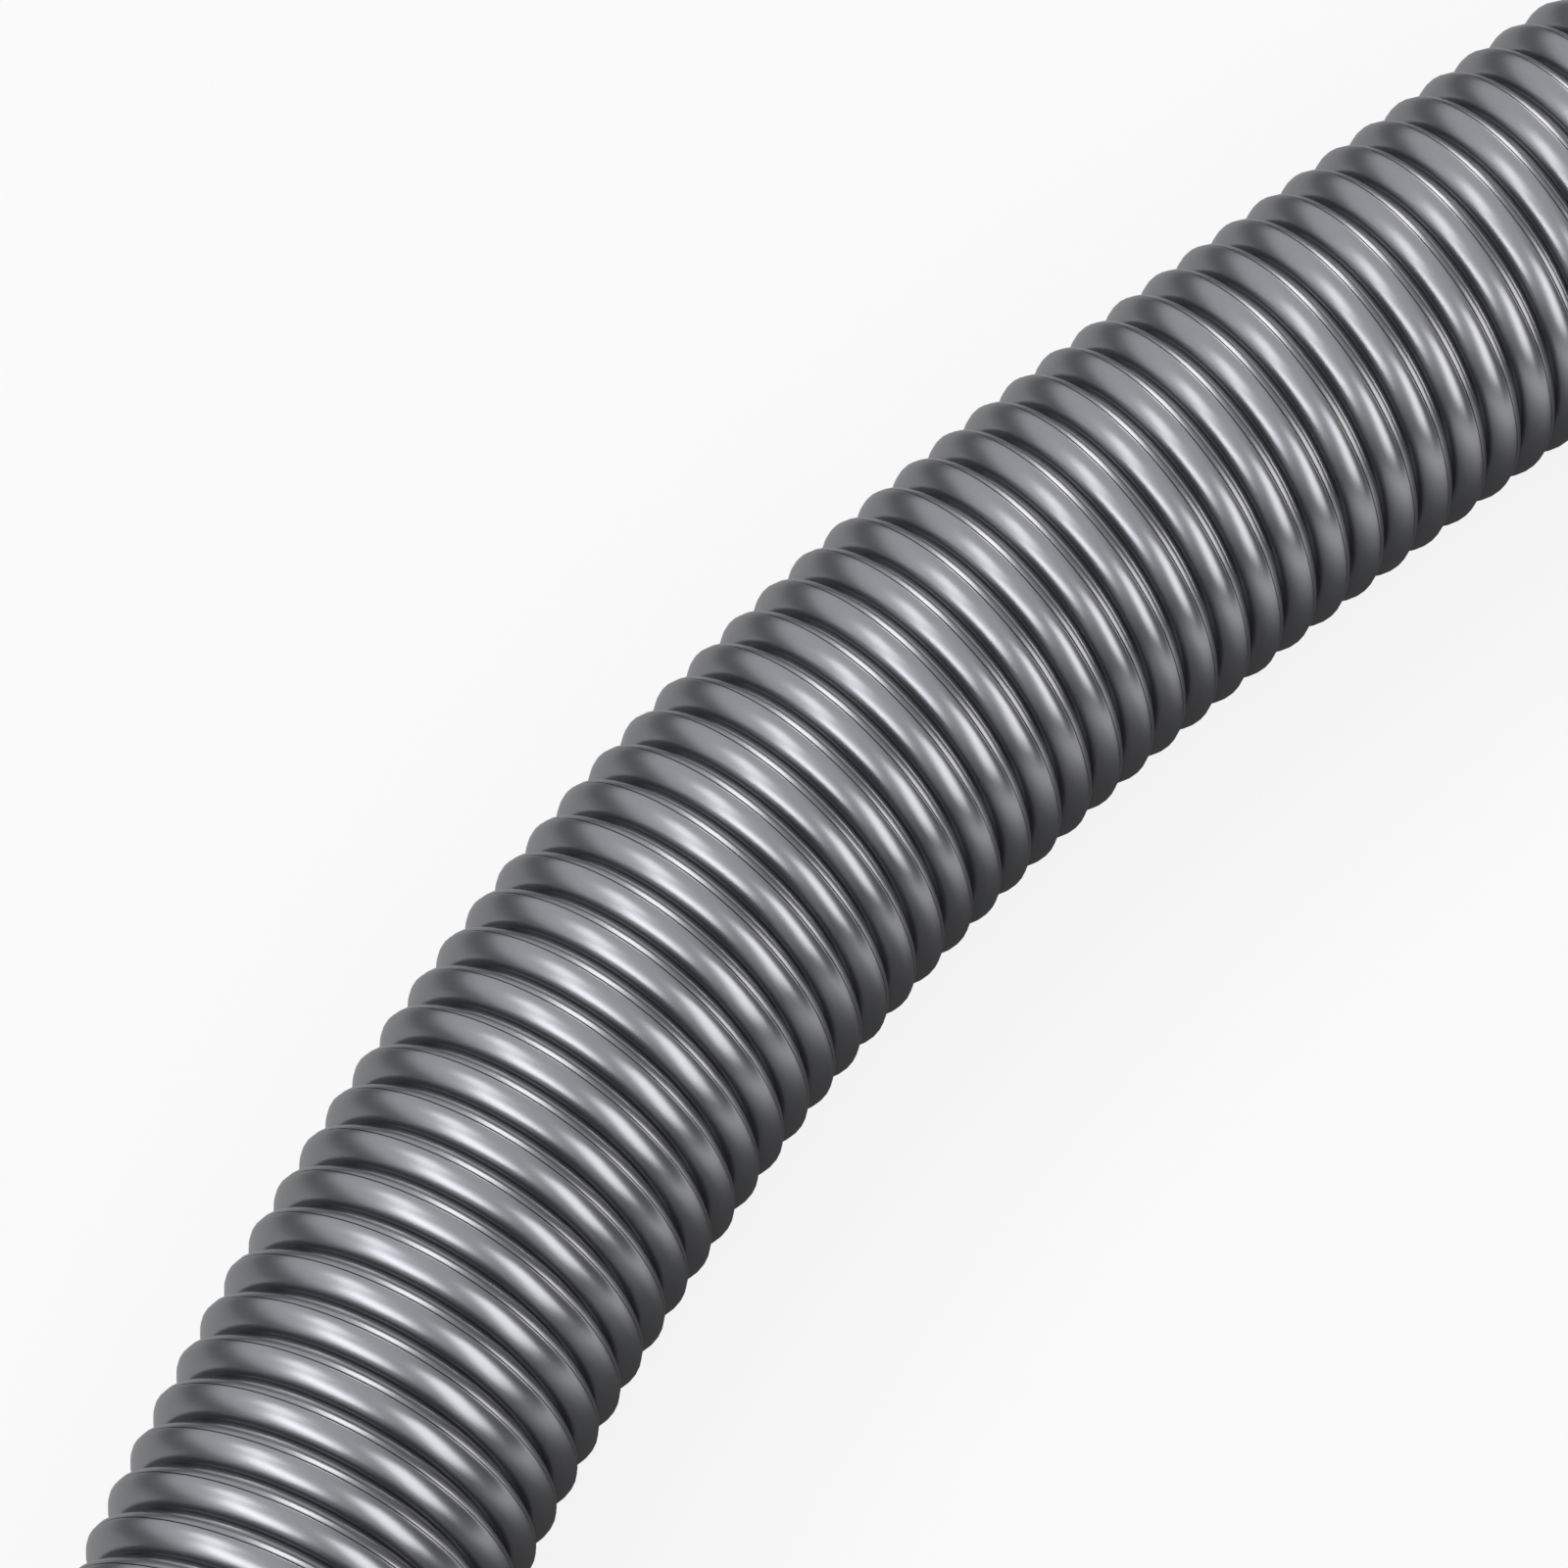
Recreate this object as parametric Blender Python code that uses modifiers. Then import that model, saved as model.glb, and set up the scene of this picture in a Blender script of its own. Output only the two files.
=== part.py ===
"""Vacuum hose: a ribbed plastic suction hose that lies on a floor in one loose loop.

The cleaner end has a swivel connector with two latch buttons. The wand end has a swivel cuff
with a lock lever and a turning air-relief ring. Metres, +Z up, the floor at z = 0.
"""

import math

import bmesh
import bpy
import numpy as np
from mathutils import Matrix, Vector

# ---------------------------------------------------------------- driving dimensions, metres

# The hose.
HOSE_OD = 0.040  # over the crests of its ribs
RIB_DEPTH = 0.0025
HOSE_WALL = 0.0015  # under the grooves between the ribs
RIB_COUNT = 180
BORE_POINTS = 64
FLOOR_FLAT = 0.001  # depth of the flat that the crests have where they lie on the floor

# The route of the hose's centreline: x, y, and how far it is lifted, from 0 where it lies on
# the floor to 1 at the height of the cuffs. The first four and the last four points are in
# line, so each end runs straight out of its cuff.
ROUTE = (
    (0.035, -0.148, 1.0),
    (-0.021, -0.148, 1.0),
    (-0.076, -0.148, 1.0),
    (-0.132, -0.148, 1.0),
    (-0.185, -0.128, 0.5),
    (-0.229, -0.093, 0.1),
    (-0.259, -0.045, 0.0),
    (-0.272, 0.010, 0.0),
    (-0.267, 0.066, 0.0),
    (-0.245, 0.117, 0.0),
    (-0.206, 0.159, 0.0),
    (-0.157, 0.185, 0.0),
    (-0.105, 0.203, 0.0),
    (-0.050, 0.214, 0.0),
    (0.006, 0.213, 0.0),
    (0.061, 0.203, 0.0),
    (0.116, 0.193, 0.0),
    (0.168, 0.173, 0.0),
    (0.213, 0.139, 0.0),
    (0.246, 0.095, 0.0),
    (0.267, 0.042, 0.0),
    (0.272, -0.013, 0.0),
    (0.262, -0.069, 0.0),
    (0.238, -0.119, 0.0),
    (0.200, -0.161, 0.1),
    (0.153, -0.191, 0.5),
    (0.099, -0.208, 1.0),
    (0.044, -0.208, 1.0),
    (-0.012, -0.208, 1.0),
    (-0.067, -0.208, 1.0),
)

# Clearances.
GAP = 0.0003  # between pieces that touch
RUN = 0.0004  # between pieces that turn or slide in each other
THREAD_PLAY = 0.0005  # between the ribs and the sleeve that is screwed on them

# The swivel, alike at both ends. Lengths run outward from the hose's end face.
SLEEVE_WALL = 0.0021
SLEEVE_GRIP = 0.024  # length of hose inside the sleeve
SLEEVE_SHOULDER = 0.0032  # from the hose's end face to the front of the sleeve's barrel
NECK_WALL = 0.0024
NECK_LENGTH = 0.010  # from the shoulder to the front of the neck's flange
FLANGE_HEIGHT = 0.0022
FLANGE_THICK = 0.002
RING_HEIGHT = 0.0038  # of the retaining ring, which reaches over the flange
RING_LENGTH = 0.0062
RING_SPLIT = 0.003
SEAL_LENGTH = 0.0027
CAVITY_WALL = 0.0021  # of the collar round the swivel
LIP_HEIGHT = 0.0007  # snap lip that keeps the retaining ring in
LIP_LENGTH = 0.0006
COLLAR_LENGTH = 0.0134  # the collars are the largest rounds of the cuffs and rest on the floor
COLLAR_ROUND = 0.0012  # chamfer on the collars' edges

# The bend guards.
GUARD_LENGTH = 0.022
GUARD_TIP_WALL = 0.0011
GUARD_GROOVES = 3
GUARD_GROOVE_DEPTH = 0.0008

# The connector for the cleaner.
SPIGOT_WALL = 0.0025
SPIGOT_LENGTH = 0.038  # in front of the seat flange
SPIGOT_TAPER = 0.0004  # off the radius at the tip
WAIST_STEP = 0.0016  # from the collar down to the waist
WAIST_LENGTH = 0.019
SEAT_THICK = 0.004
O_RING_SECTION = 0.0018
O_RING_SETBACK = 0.0105  # from the tip of the spigot to the middle of the ring
O_RING_STANDS_PROUD = 0.0008

# The latch buttons, one on each side of the connector.
LATCH_TRAVEL = 0.0017
LATCH_WIDTH = 0.008
LATCH_HEEL_LENGTH = 0.003
LATCH_PAD_LENGTH = 0.0112
LATCH_SETBACK = 0.0003  # of the pad's top, inside the collar's round
LATCH_TONGUE_THICK = 0.0015
LATCH_RECESS = 0.0022  # depth of the spring's hole in the pad
LATCH_REACH = 0.006  # of the hook, in front of the seat flange
LATCH_HOOK_HEIGHT = 0.0019
LATCH_HOOK_LENGTH = 0.003
ROOF_THICK = 0.0011  # of the wall that keeps the latch's heel in

# The cuff for the wand.
CUFF_WALL = 0.0034
CUFF_LENGTH = 0.075  # in front of the collar
SOCKET_DEPTH = 0.046
SOCKET_STEP = 0.0016  # from the bore out to the socket, which takes the wand
SOCKET_TAPER = 0.0002  # off the radius at the socket's floor
MOUTH_HEIGHT = 0.0025
MOUTH_LENGTH = 0.006

# The air-relief ring and its vent.
RELIEF_HEIGHT = 0.0026  # of the ring over the cuff
RELIEF_LENGTH = 0.012
RELIEF_GAP_DEG = 34.0  # the open part of the ring
RELIEF_SETBACK = 0.0055  # from the collar to the ring
RELIEF_GROOVE = 0.0008  # depth of the track that the ring turns in
RELIEF_TAB = 0.0009  # height of the ring's thumb tab
VENT_LENGTH = 0.0034
VENT_WIDTH = 0.0085
VENT_ANGLE_DEG = 90.0  # from the lever, round the cuff

# The lock lever for the wand.
LEVER_WIDTH = 0.0088
LEVER_THICK = 0.0021
LEVER_TAIL = 0.013  # from the pivot to the end that is pressed
LEVER_NOSE = 0.014  # from the pivot to the front of the hook
LEVER_HOOK_LENGTH = 0.0028
LEVER_HOOK_WIDTH = 0.0048
LEVER_HOOK_REACH = 0.0008  # how far the hook stands into the socket
LEVER_RISE = 0.0016  # gap between the lever and the cuff
LEVER_HUB = 0.0034  # round boss at the pivot
LEVER_HUB_FLARE = 1.3  # half-length of the boss's root, over its radius
LEVER_PIVOT = 0.049  # from the collar to the pivot
PIN_DIAMETER = 0.0015
EAR_THICK = 0.0018
EAR_LENGTH = 0.0062

# The springs.
SPRING_WIRE = 0.00045
SPRING_DIAMETER = 0.0040  # at the middle of the wire
SPRING_TURNS = 3
SPRING_HOLE = 0.0054

# Round pieces.
STEPS = 32
RING_SECTION_STEPS = 8
SHARP_ANGLE = math.radians(30)

# ------------------------------------------------------------------- sizes that follow

HOSE_R = HOSE_OD / 2
BORE_R = HOSE_R - RIB_DEPTH - HOSE_WALL
SEAT_R = HOSE_R + THREAD_PLAY
SLEEVE_R = SEAT_R + SLEEVE_WALL
GUARD_TIP_R = SEAT_R + GUARD_TIP_WALL
NECK_R = BORE_R + NECK_WALL
FLANGE_R = NECK_R + FLANGE_HEIGHT
RING_INNER_R = NECK_R + RUN
RING_OUTER_R = RING_INNER_R + RING_HEIGHT
CAVITY_R = RING_OUTER_R + GAP
LIP_R = CAVITY_R - LIP_HEIGHT
COLLAR_R = CAVITY_R + CAVITY_WALL
AXIS_HEIGHT = COLLAR_R
HOSE_HEIGHT = HOSE_R - FLOOR_FLAT
NECK_FRONT = SLEEVE_SHOULDER + NECK_LENGTH
COLLAR_BACK = SLEEVE_SHOULDER + RUN
COLLAR_FRONT = COLLAR_BACK + COLLAR_LENGTH
CAVITY_FRONT = NECK_FRONT + GAP + SEAL_LENGTH + GAP
RING_BACK = COLLAR_BACK + LIP_LENGTH + GAP
RING_FRONT = RING_BACK + RING_LENGTH
WAIST_R = COLLAR_R - WAIST_STEP
SEAT_BACK = COLLAR_FRONT + WAIST_LENGTH
SEAT_FRONT = SEAT_BACK + SEAT_THICK
SPIGOT_R = BORE_R + SPIGOT_WALL
SPIGOT_TIP = SEAT_FRONT + SPIGOT_LENGTH
SOCKET_R = BORE_R + SOCKET_STEP
CUFF_R = SOCKET_R + CUFF_WALL
CUFF_FRONT = COLLAR_FRONT + CUFF_LENGTH
SOCKET_FLOOR = CUFF_FRONT - SOCKET_DEPTH
MOUTH_R = CUFF_R + MOUTH_HEIGHT
RELIEF_R = CUFF_R + RELIEF_HEIGHT
RELIEF_BACK = COLLAR_FRONT + RELIEF_SETBACK
RELIEF_FRONT = RELIEF_BACK + RELIEF_LENGTH
PIVOT_AT = COLLAR_FRONT + LEVER_PIVOT
LEVER_UNDER = CUFF_R + LEVER_RISE
PIVOT_R = CUFF_R + GAP + LEVER_HUB / 2

# ------------------------------------------------------------------------ scene and looks


def clear_scene():
    """Remove what the new scene holds."""
    for item in list(bpy.data.objects):
        bpy.data.objects.remove(item, do_unlink=True)


def make_collection(name):
    """Add a collection to the scene."""
    collection = bpy.data.collections.new(name)
    bpy.context.scene.collection.children.link(collection)
    return collection


def make_material(name, colour, roughness, metallic):
    """A plain Principled material."""
    material = bpy.data.materials.new(name)
    material.use_nodes = True
    shader = material.node_tree.nodes["Principled BSDF"]
    shader.inputs["Base Color"].default_value = (*colour, 1.0)
    shader.inputs["Roughness"].default_value = roughness
    shader.inputs["Metallic"].default_value = metallic
    return material


clear_scene()
PARTS = make_collection("vacuum_hose")
CUTTERS = make_collection("cutters")
SILVER = make_material("silver_hose_plastic", (0.22, 0.225, 0.24), 0.3, 0.55)
DARK = make_material("dark_cuff_plastic", (0.035, 0.036, 0.04), 0.38, 0.0)
GREY = make_material("grey_control_plastic", (0.16, 0.165, 0.175), 0.4, 0.0)
INNER = make_material("pale_inner_plastic", (0.5, 0.5, 0.48), 0.45, 0.0)
RUBBER = make_material("black_rubber", (0.018, 0.018, 0.02), 0.6, 0.0)
STEEL = make_material("spring_steel", (0.55, 0.55, 0.57), 0.28, 1.0)

# ------------------------------------------------------------------------------- the route


def smooth_curve(points, per_span=24):
    """A uniform cubic B-spline on the route's points."""
    spans = []
    for i in range(len(points) - 3):
        t = np.linspace(0.0, 1.0, per_span, endpoint=False)[:, None]
        spans.append(
            (1 - t) ** 3 / 6 * points[i]
            + (3 * t**3 - 6 * t**2 + 4) / 6 * points[i + 1]
            + (-3 * t**3 + 3 * t**2 + 3 * t + 1) / 6 * points[i + 2]
            + t**3 / 6 * points[i + 3]
        )
    spans.append(((points[-3] + 4 * points[-2] + points[-1]) / 6)[None, :])
    return np.concatenate(spans)


def route_points():
    """The route's points in space."""
    points = np.array(ROUTE)
    points[:, 2] = HOSE_HEIGHT + points[:, 2] * (AXIS_HEIGHT - HOSE_HEIGHT)
    return points


def distances_along(path):
    """Distance from the start to each point of a path."""
    steps = np.linalg.norm(np.diff(path, axis=0), axis=1)
    return np.concatenate([[0.0], np.cumsum(steps)])


def points_at(path, wanted):
    """The points at the wanted distances along a path."""
    along = distances_along(path)
    return np.stack([np.interp(wanted, along, path[:, k]) for k in range(3)], axis=1)


def least_gap(path, diameter, apart):
    """Smallest gap between stretches of a tube that are at least so far apart along it."""
    along = distances_along(path)
    smallest = math.inf
    for i in range(0, len(path), 2):
        far = np.abs(along - along[i]) > apart
        if far.any():
            reach = np.linalg.norm(path[far] - path[i], axis=1).min()
            smallest = min(smallest, reach - diameter)
    return smallest


CENTRELINE = smooth_curve(route_points())
HOSE_LENGTH = distances_along(CENTRELINE)[-1]

# ------------------------------------------------------------------------ modelling helpers


def add_object(name, data, parent=None, collection=PARTS):
    """Link a new object, under its end of the hose if it has one."""
    item = bpy.data.objects.new(name, data)
    collection.objects.link(item)
    if parent is not None:
        item.parent = parent
    return item


def as_cutter(item):
    """Hide an object that only cuts."""
    for collection in list(item.users_collection):
        collection.objects.unlink(item)
    CUTTERS.objects.link(item)
    item.hide_render = True
    item.display_type = "WIRE"
    return item


def evaluated_mesh(item):
    """The mesh that an object's modifiers or curve settings make."""
    bpy.context.view_layer.update()
    graph = bpy.context.evaluated_depsgraph_get()
    return bpy.data.meshes.new_from_object(item.evaluated_get(graph))


def weld(mesh, flat_caps=False):
    """Join the loose caps of a mesh that was a curve, and make flat caps one face each."""
    work = bmesh.new()
    work.from_mesh(mesh)
    bmesh.ops.remove_doubles(work, verts=work.verts, dist=0.00001)
    if flat_caps:
        bmesh.ops.dissolve_limit(work, angle_limit=0.001, verts=work.verts, edges=work.edges)
    bmesh.ops.recalc_face_normals(work, faces=work.faces)
    work.to_mesh(mesh)
    work.free()


def curve_to_mesh(item, flat_caps=False):
    """Replace a curve object by a closed mesh object."""
    mesh = evaluated_mesh(item)
    weld(mesh, flat_caps)
    name = item.name
    solid = bpy.data.objects.new(name, mesh)
    for collection in item.users_collection:
        collection.objects.link(solid)
    solid.parent = item.parent
    solid.matrix_world = item.matrix_world.copy()
    bpy.data.objects.remove(item, do_unlink=True)
    solid.name = name
    mesh.name = name
    return solid


def tube(name, points, radius, resolution, shares=None, parent=None):
    """A round tube along points. shares scales its radius at each point."""
    data = bpy.data.curves.new(name, "CURVE")
    data.dimensions = "3D"
    data.twist_mode = "Z_UP"
    data.bevel_depth = radius
    data.bevel_resolution = resolution
    data.use_fill_caps = True
    line = data.splines.new("POLY")
    line.points.add(len(points) - 1)
    for i, point in enumerate(points):
        line.points[i].co = (*point, 1.0)
        line.points[i].radius = 1.0 if shares is None else shares[i]
    return curve_to_mesh(add_object(name, data, parent))


def outline(name, corners, thickness, parent):
    """A flat outline with a thickness, centred on its plane."""
    data = bpy.data.curves.new(name, "CURVE")
    data.dimensions = "2D"
    data.fill_mode = "BOTH"
    data.extrude = thickness / 2
    line = data.splines.new("POLY")
    line.points.add(len(corners) - 1)
    for i, corner in enumerate(corners):
        line.points[i].co = (corner[0], corner[1], 0.0, 1.0)
    line.use_cyclic_u = True
    return curve_to_mesh(add_object(name, data, parent), flat_caps=True)


def turned(name, profile, parent):
    """A turned piece. The profile is (along, radius), down the outside and up the bore."""
    mesh = bpy.data.meshes.new(name)
    corners = [(radius, 0.0, along) for along, radius in profile]
    count = len(corners)
    mesh.from_pydata(corners, [(i, (i + 1) % count) for i in range(count)], [])
    item = add_object(name, mesh, parent)
    screw = item.modifiers.new("turn", "SCREW")
    screw.axis = "Z"
    screw.angle = 2 * math.pi
    screw.steps = STEPS
    screw.render_steps = STEPS
    screw.use_merge_vertices = True
    screw.merge_threshold = 0.00001
    return item


def block(name, low, high, parent, turn=0.0):
    """A box from its low to its high corner, turned about its end's axis."""
    work = bmesh.new()
    bmesh.ops.create_cube(work, size=1.0)
    size = Vector(high) - Vector(low)
    centre = (Vector(high) + Vector(low)) / 2
    place = Matrix.Rotation(turn, 4, "Z") @ Matrix.Translation(centre)
    work.transform(place @ Matrix.Diagonal((*size, 1.0)))
    mesh = bpy.data.meshes.new(name)
    work.to_mesh(mesh)
    work.free()
    return add_object(name, mesh, parent)


def rod(name, radius, length, sides, parent):
    """A plain round bar along its own Z, centred."""
    work = bmesh.new()
    bmesh.ops.create_cone(
        work, cap_ends=True, segments=sides, radius1=radius, radius2=radius, depth=length
    )
    mesh = bpy.data.meshes.new(name)
    work.to_mesh(mesh)
    work.free()
    return add_object(name, mesh, parent)


def combine(item, tool, operation):
    """Add or cut away a shape."""
    as_cutter(tool)
    step = item.modifiers.new(tool.name, "BOOLEAN")
    step.operation = operation
    step.solver = "EXACT"
    step.object = tool
    return item


def cut(item, tool):
    """Cut a shape out of a piece."""
    return combine(item, tool, "DIFFERENCE")


def add_shape(item, tool):
    """Join a shape to a piece."""
    return combine(item, tool, "UNION")


def paint(item, material):
    """Give a piece its material, in place of any other."""
    item.data.materials.clear()
    item.data.materials.append(material)
    return item


def side_frame(angle):
    """Axes of a flat outline on a cuff's side: along the cuff, outward, and across."""
    along = Vector((0.0, 0.0, 1.0))
    outward = Vector((math.cos(angle), math.sin(angle), 0.0))
    across = along.cross(outward)
    return Matrix((along, outward, across)).transposed()


def place_on_side(item, angle, along=0.0, outward=0.0):
    """Stand an outline on a cuff's side."""
    turn = side_frame(angle)
    item.location = turn @ Vector((along, outward, 0.0))
    item.rotation_euler = turn.to_euler()
    return item


def end_frame(name, point, turn):
    """The empty that carries one end's pieces, its Z along the cuff, away from the hose."""
    item = add_object(name, None)
    item.location = point
    item.rotation_euler = (0.0, turn, 0.0)
    return item


# -------------------------------------------------------------------------------- the hose


def build_hose():
    """The ribbed hose: two rings of unlike radius for each rib, and a plain bore."""
    pitch = HOSE_LENGTH / RIB_COUNT
    wanted = np.arange(2 * RIB_COUNT + 1) * pitch / 2
    valley = (HOSE_R - RIB_DEPTH) / HOSE_R
    shares = [1.0 if i % 2 else valley for i in range(len(wanted))]
    hose = tube("ribbed_hose", points_at(CENTRELINE, wanted), HOSE_R, 2, shares)

    bore_path = points_at(CENTRELINE, np.linspace(0.0, HOSE_LENGTH, BORE_POINTS))
    bore_path[0] += (bore_path[0] - bore_path[1]) * 0.2
    bore_path[-1] += (bore_path[-1] - bore_path[-2]) * 0.2
    cut(hose, tube("hose_bore", bore_path, BORE_R, 2))

    reach = np.abs(np.array(ROUTE)[:, :2]).max() + HOSE_OD
    floor = block("floor_flat", (-reach, -reach, -HOSE_OD), (reach, reach, 0.0), None)
    cut(hose, floor)
    return paint(hose, SILVER)


# ------------------------------------------------------------------------------ the swivels


def build_sleeve(name, frame):
    """Threaded sleeve on the hose, with the neck and flange that the cuff turns on."""
    profile = [
        (NECK_FRONT, FLANGE_R - GAP),
        (NECK_FRONT - GAP, FLANGE_R),
        (NECK_FRONT - FLANGE_THICK, FLANGE_R),
        (NECK_FRONT - FLANGE_THICK, NECK_R),
        (SLEEVE_SHOULDER, NECK_R),
        (SLEEVE_SHOULDER, SLEEVE_R - GAP),
        (SLEEVE_SHOULDER - GAP, SLEEVE_R),
        (-SLEEVE_GRIP, SLEEVE_R),
        (-SLEEVE_GRIP, SEAT_R),
        (GAP, SEAT_R),
        (GAP, BORE_R),
        (NECK_FRONT, BORE_R),
    ]
    return paint(turned(name, profile, frame), DARK)


def build_guard(name, frame):
    """Soft bend guard round the hose behind the sleeve, with shallow grooves."""
    back = -SLEEVE_GRIP - GAP - GUARD_LENGTH
    front = -SLEEVE_GRIP - GAP
    pitch = GUARD_LENGTH / (GUARD_GROOVES + 0.5)
    slope = (SLEEVE_R - GUARD_TIP_R) / GUARD_LENGTH
    profile = [(front, SLEEVE_R)]
    for i in range(GUARD_GROOVES):
        for share, depth in ((0.5, 0.0), (0.75, GUARD_GROOVE_DEPTH), (1.0, 0.0)):
            behind = (i + share) * pitch
            profile.append((front - behind, SLEEVE_R - slope * behind - depth))
    profile.append((back, GUARD_TIP_R))
    profile.append((back, SEAT_R))
    profile.append((front, SEAT_R))
    return paint(turned(name, profile, frame), RUBBER)


def build_retaining_ring(name, frame):
    """Split ring that keeps the neck's flange in the collar."""
    profile = [
        (RING_FRONT, RING_OUTER_R),
        (RING_BACK, RING_OUTER_R),
        (RING_BACK, RING_INNER_R),
        (RING_FRONT, RING_INNER_R),
    ]
    ring = turned(name, profile, frame)
    low = (BORE_R, -RING_SPLIT / 2, 0.0)
    high = (COLLAR_R, RING_SPLIT / 2, CAVITY_FRONT)
    return paint(cut(ring, block(name + "_split", low, high, frame)), INNER)


def build_swivel_seal(name, frame):
    """Soft seal between the neck's flange and the cuff."""
    back = NECK_FRONT + GAP
    front = CAVITY_FRONT - GAP
    profile = [
        (front, FLANGE_R - GAP),
        (back, FLANGE_R - GAP),
        (back, BORE_R + GAP),
        (front, BORE_R + GAP),
    ]
    return paint(turned(name, profile, frame), RUBBER)


def collar_profile():
    """Outside of a collar, from its front face to its back."""
    return [
        (COLLAR_FRONT, COLLAR_R - COLLAR_ROUND),
        (COLLAR_FRONT - COLLAR_ROUND, COLLAR_R),
        (COLLAR_BACK + COLLAR_ROUND, COLLAR_R),
        (COLLAR_BACK, COLLAR_R - COLLAR_ROUND),
    ]


def cavity_profile():
    """Inside of a collar, from its back face to the bore."""
    return [
        (COLLAR_BACK, LIP_R),
        (COLLAR_BACK + LIP_LENGTH, LIP_R),
        (COLLAR_BACK + LIP_LENGTH, CAVITY_R),
        (CAVITY_FRONT, CAVITY_R),
        (CAVITY_FRONT, BORE_R),
    ]


# ---------------------------------------------------------------- the end for the cleaner

POCKET_FLOOR = SPIGOT_R + RUN
LATCH_PAD_TOP = COLLAR_R - LATCH_SETBACK
POCKET_BACK = CAVITY_FRONT + ROOF_THICK
HEEL_BACK = POCKET_BACK + RUN
PAD_BACK = HEEL_BACK + LATCH_HEEL_LENGTH
PAD_FRONT = PAD_BACK + LATCH_PAD_LENGTH
LATCH_UNDER = POCKET_FLOOR + GAP + LATCH_TRAVEL
TONGUE_TOP = LATCH_UNDER + LATCH_TONGUE_THICK
HEEL_ROOF = WAIST_R - ROOF_THICK
HOOK_FRONT = SEAT_FRONT + LATCH_REACH
PAD_MIDDLE = (PAD_BACK + PAD_FRONT) / 2
LATCH_SPRING_FOOT = POCKET_FLOOR + GAP
LATCH_SPRING_TOP = LATCH_UNDER + LATCH_RECESS - GAP


def build_connector(frame):
    """Swivel connector: collar, latch housing, seat flange and spigot."""
    groove = O_RING_SECTION + 2 * GAP
    groove_r = SPIGOT_R + O_RING_STANDS_PROUD - O_RING_SECTION - GAP
    ring_at = SPIGOT_TIP - O_RING_SETBACK
    profile = [
        (SPIGOT_TIP, SPIGOT_R - SPIGOT_TAPER),
        (ring_at + groove / 2, SPIGOT_R),
        (ring_at + groove / 2, groove_r),
        (ring_at - groove / 2, groove_r),
        (ring_at - groove / 2, SPIGOT_R),
        (SEAT_FRONT, SPIGOT_R),
        (SEAT_FRONT, COLLAR_R - GAP),
        (SEAT_FRONT - GAP, COLLAR_R),
        (SEAT_BACK + GAP, COLLAR_R),
        (SEAT_BACK, COLLAR_R - GAP),
        (SEAT_BACK, WAIST_R),
        (COLLAR_FRONT, WAIST_R),
    ]
    profile += collar_profile()
    profile += cavity_profile()
    profile.append((SPIGOT_TIP, BORE_R))
    connector = turned("machine_connector", profile, frame)

    for side, angle in (("left", math.pi / 2), ("right", -math.pi / 2)):
        cut(connector, latch_pocket("latch_pocket_" + side, angle, frame))
    return paint(connector, DARK)


def latch_pocket(name, angle, frame):
    """The space of one latch: heel pocket, window for the pad, and slot for the tongue."""
    window_back = PAD_BACK - RUN
    window_front = PAD_FRONT + RUN
    slot_front = SEAT_FRONT + LATCH_REACH
    slot_top = TONGUE_TOP + GAP
    outside = COLLAR_R + COLLAR_ROUND
    corners = [
        (POCKET_BACK, POCKET_FLOOR),
        (slot_front, POCKET_FLOOR),
        (slot_front, slot_top),
        (window_front, slot_top),
        (window_front, outside),
        (window_back, outside),
        (window_back, HEEL_ROOF),
        (POCKET_BACK, HEEL_ROOF),
    ]
    pocket = outline(name, corners, LATCH_WIDTH + 2 * RUN, frame)
    return place_on_side(pocket, angle)


def build_o_ring(frame):
    """Sealing ring on the spigot."""
    section = O_RING_SECTION / 2
    middle = SPIGOT_R + O_RING_STANDS_PROUD - section
    along = SPIGOT_TIP - O_RING_SETBACK
    profile = []
    for i in range(RING_SECTION_STEPS):
        angle = -2 * math.pi * (i + 0.5) / RING_SECTION_STEPS + math.pi / 2
        profile.append((along + section * math.sin(angle), middle + section * math.cos(angle)))
    return paint(turned("machine_o_ring", profile, frame), RUBBER)


def build_latch(side, angle, frame):
    """Latch button: heel under the housing's roof, thumb pad, tongue and hook."""
    name = "latch_button_" + side
    heel_top = HEEL_ROOF - GAP
    hook_back = HOOK_FRONT - LATCH_HOOK_LENGTH
    hook_top = TONGUE_TOP + LATCH_HOOK_HEIGHT
    lead_in = LATCH_HOOK_HEIGHT * 0.8
    corners = [
        (HEEL_BACK, LATCH_UNDER),
        (HOOK_FRONT, LATCH_UNDER),
        (HOOK_FRONT, TONGUE_TOP - GAP),
        (HOOK_FRONT - lead_in, hook_top),
        (hook_back, hook_top),
        (hook_back, TONGUE_TOP),
        (PAD_FRONT, TONGUE_TOP),
        (PAD_FRONT - GAP * 2, LATCH_PAD_TOP),
        (PAD_BACK + GAP * 2, LATCH_PAD_TOP),
        (PAD_BACK, heel_top),
        (HEEL_BACK, heel_top),
    ]
    corners = [(along - PAD_MIDDLE, outward - LATCH_UNDER) for along, outward in corners]
    button = outline(name, corners, LATCH_WIDTH, frame)
    place_on_side(button, angle, PAD_MIDDLE, LATCH_UNDER)
    hole = rod("spring_hole_" + side, SPRING_HOLE / 2, 2 * LATCH_RECESS, 12, frame)
    turn = side_frame(angle)
    hole.location = turn @ Vector((PAD_MIDDLE, LATCH_UNDER, 0.0))
    hole.rotation_euler = (turn @ Matrix.Rotation(math.pi / 2, 3, "X")).to_euler()
    cut(button, hole)
    return paint(button, GREY)


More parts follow.
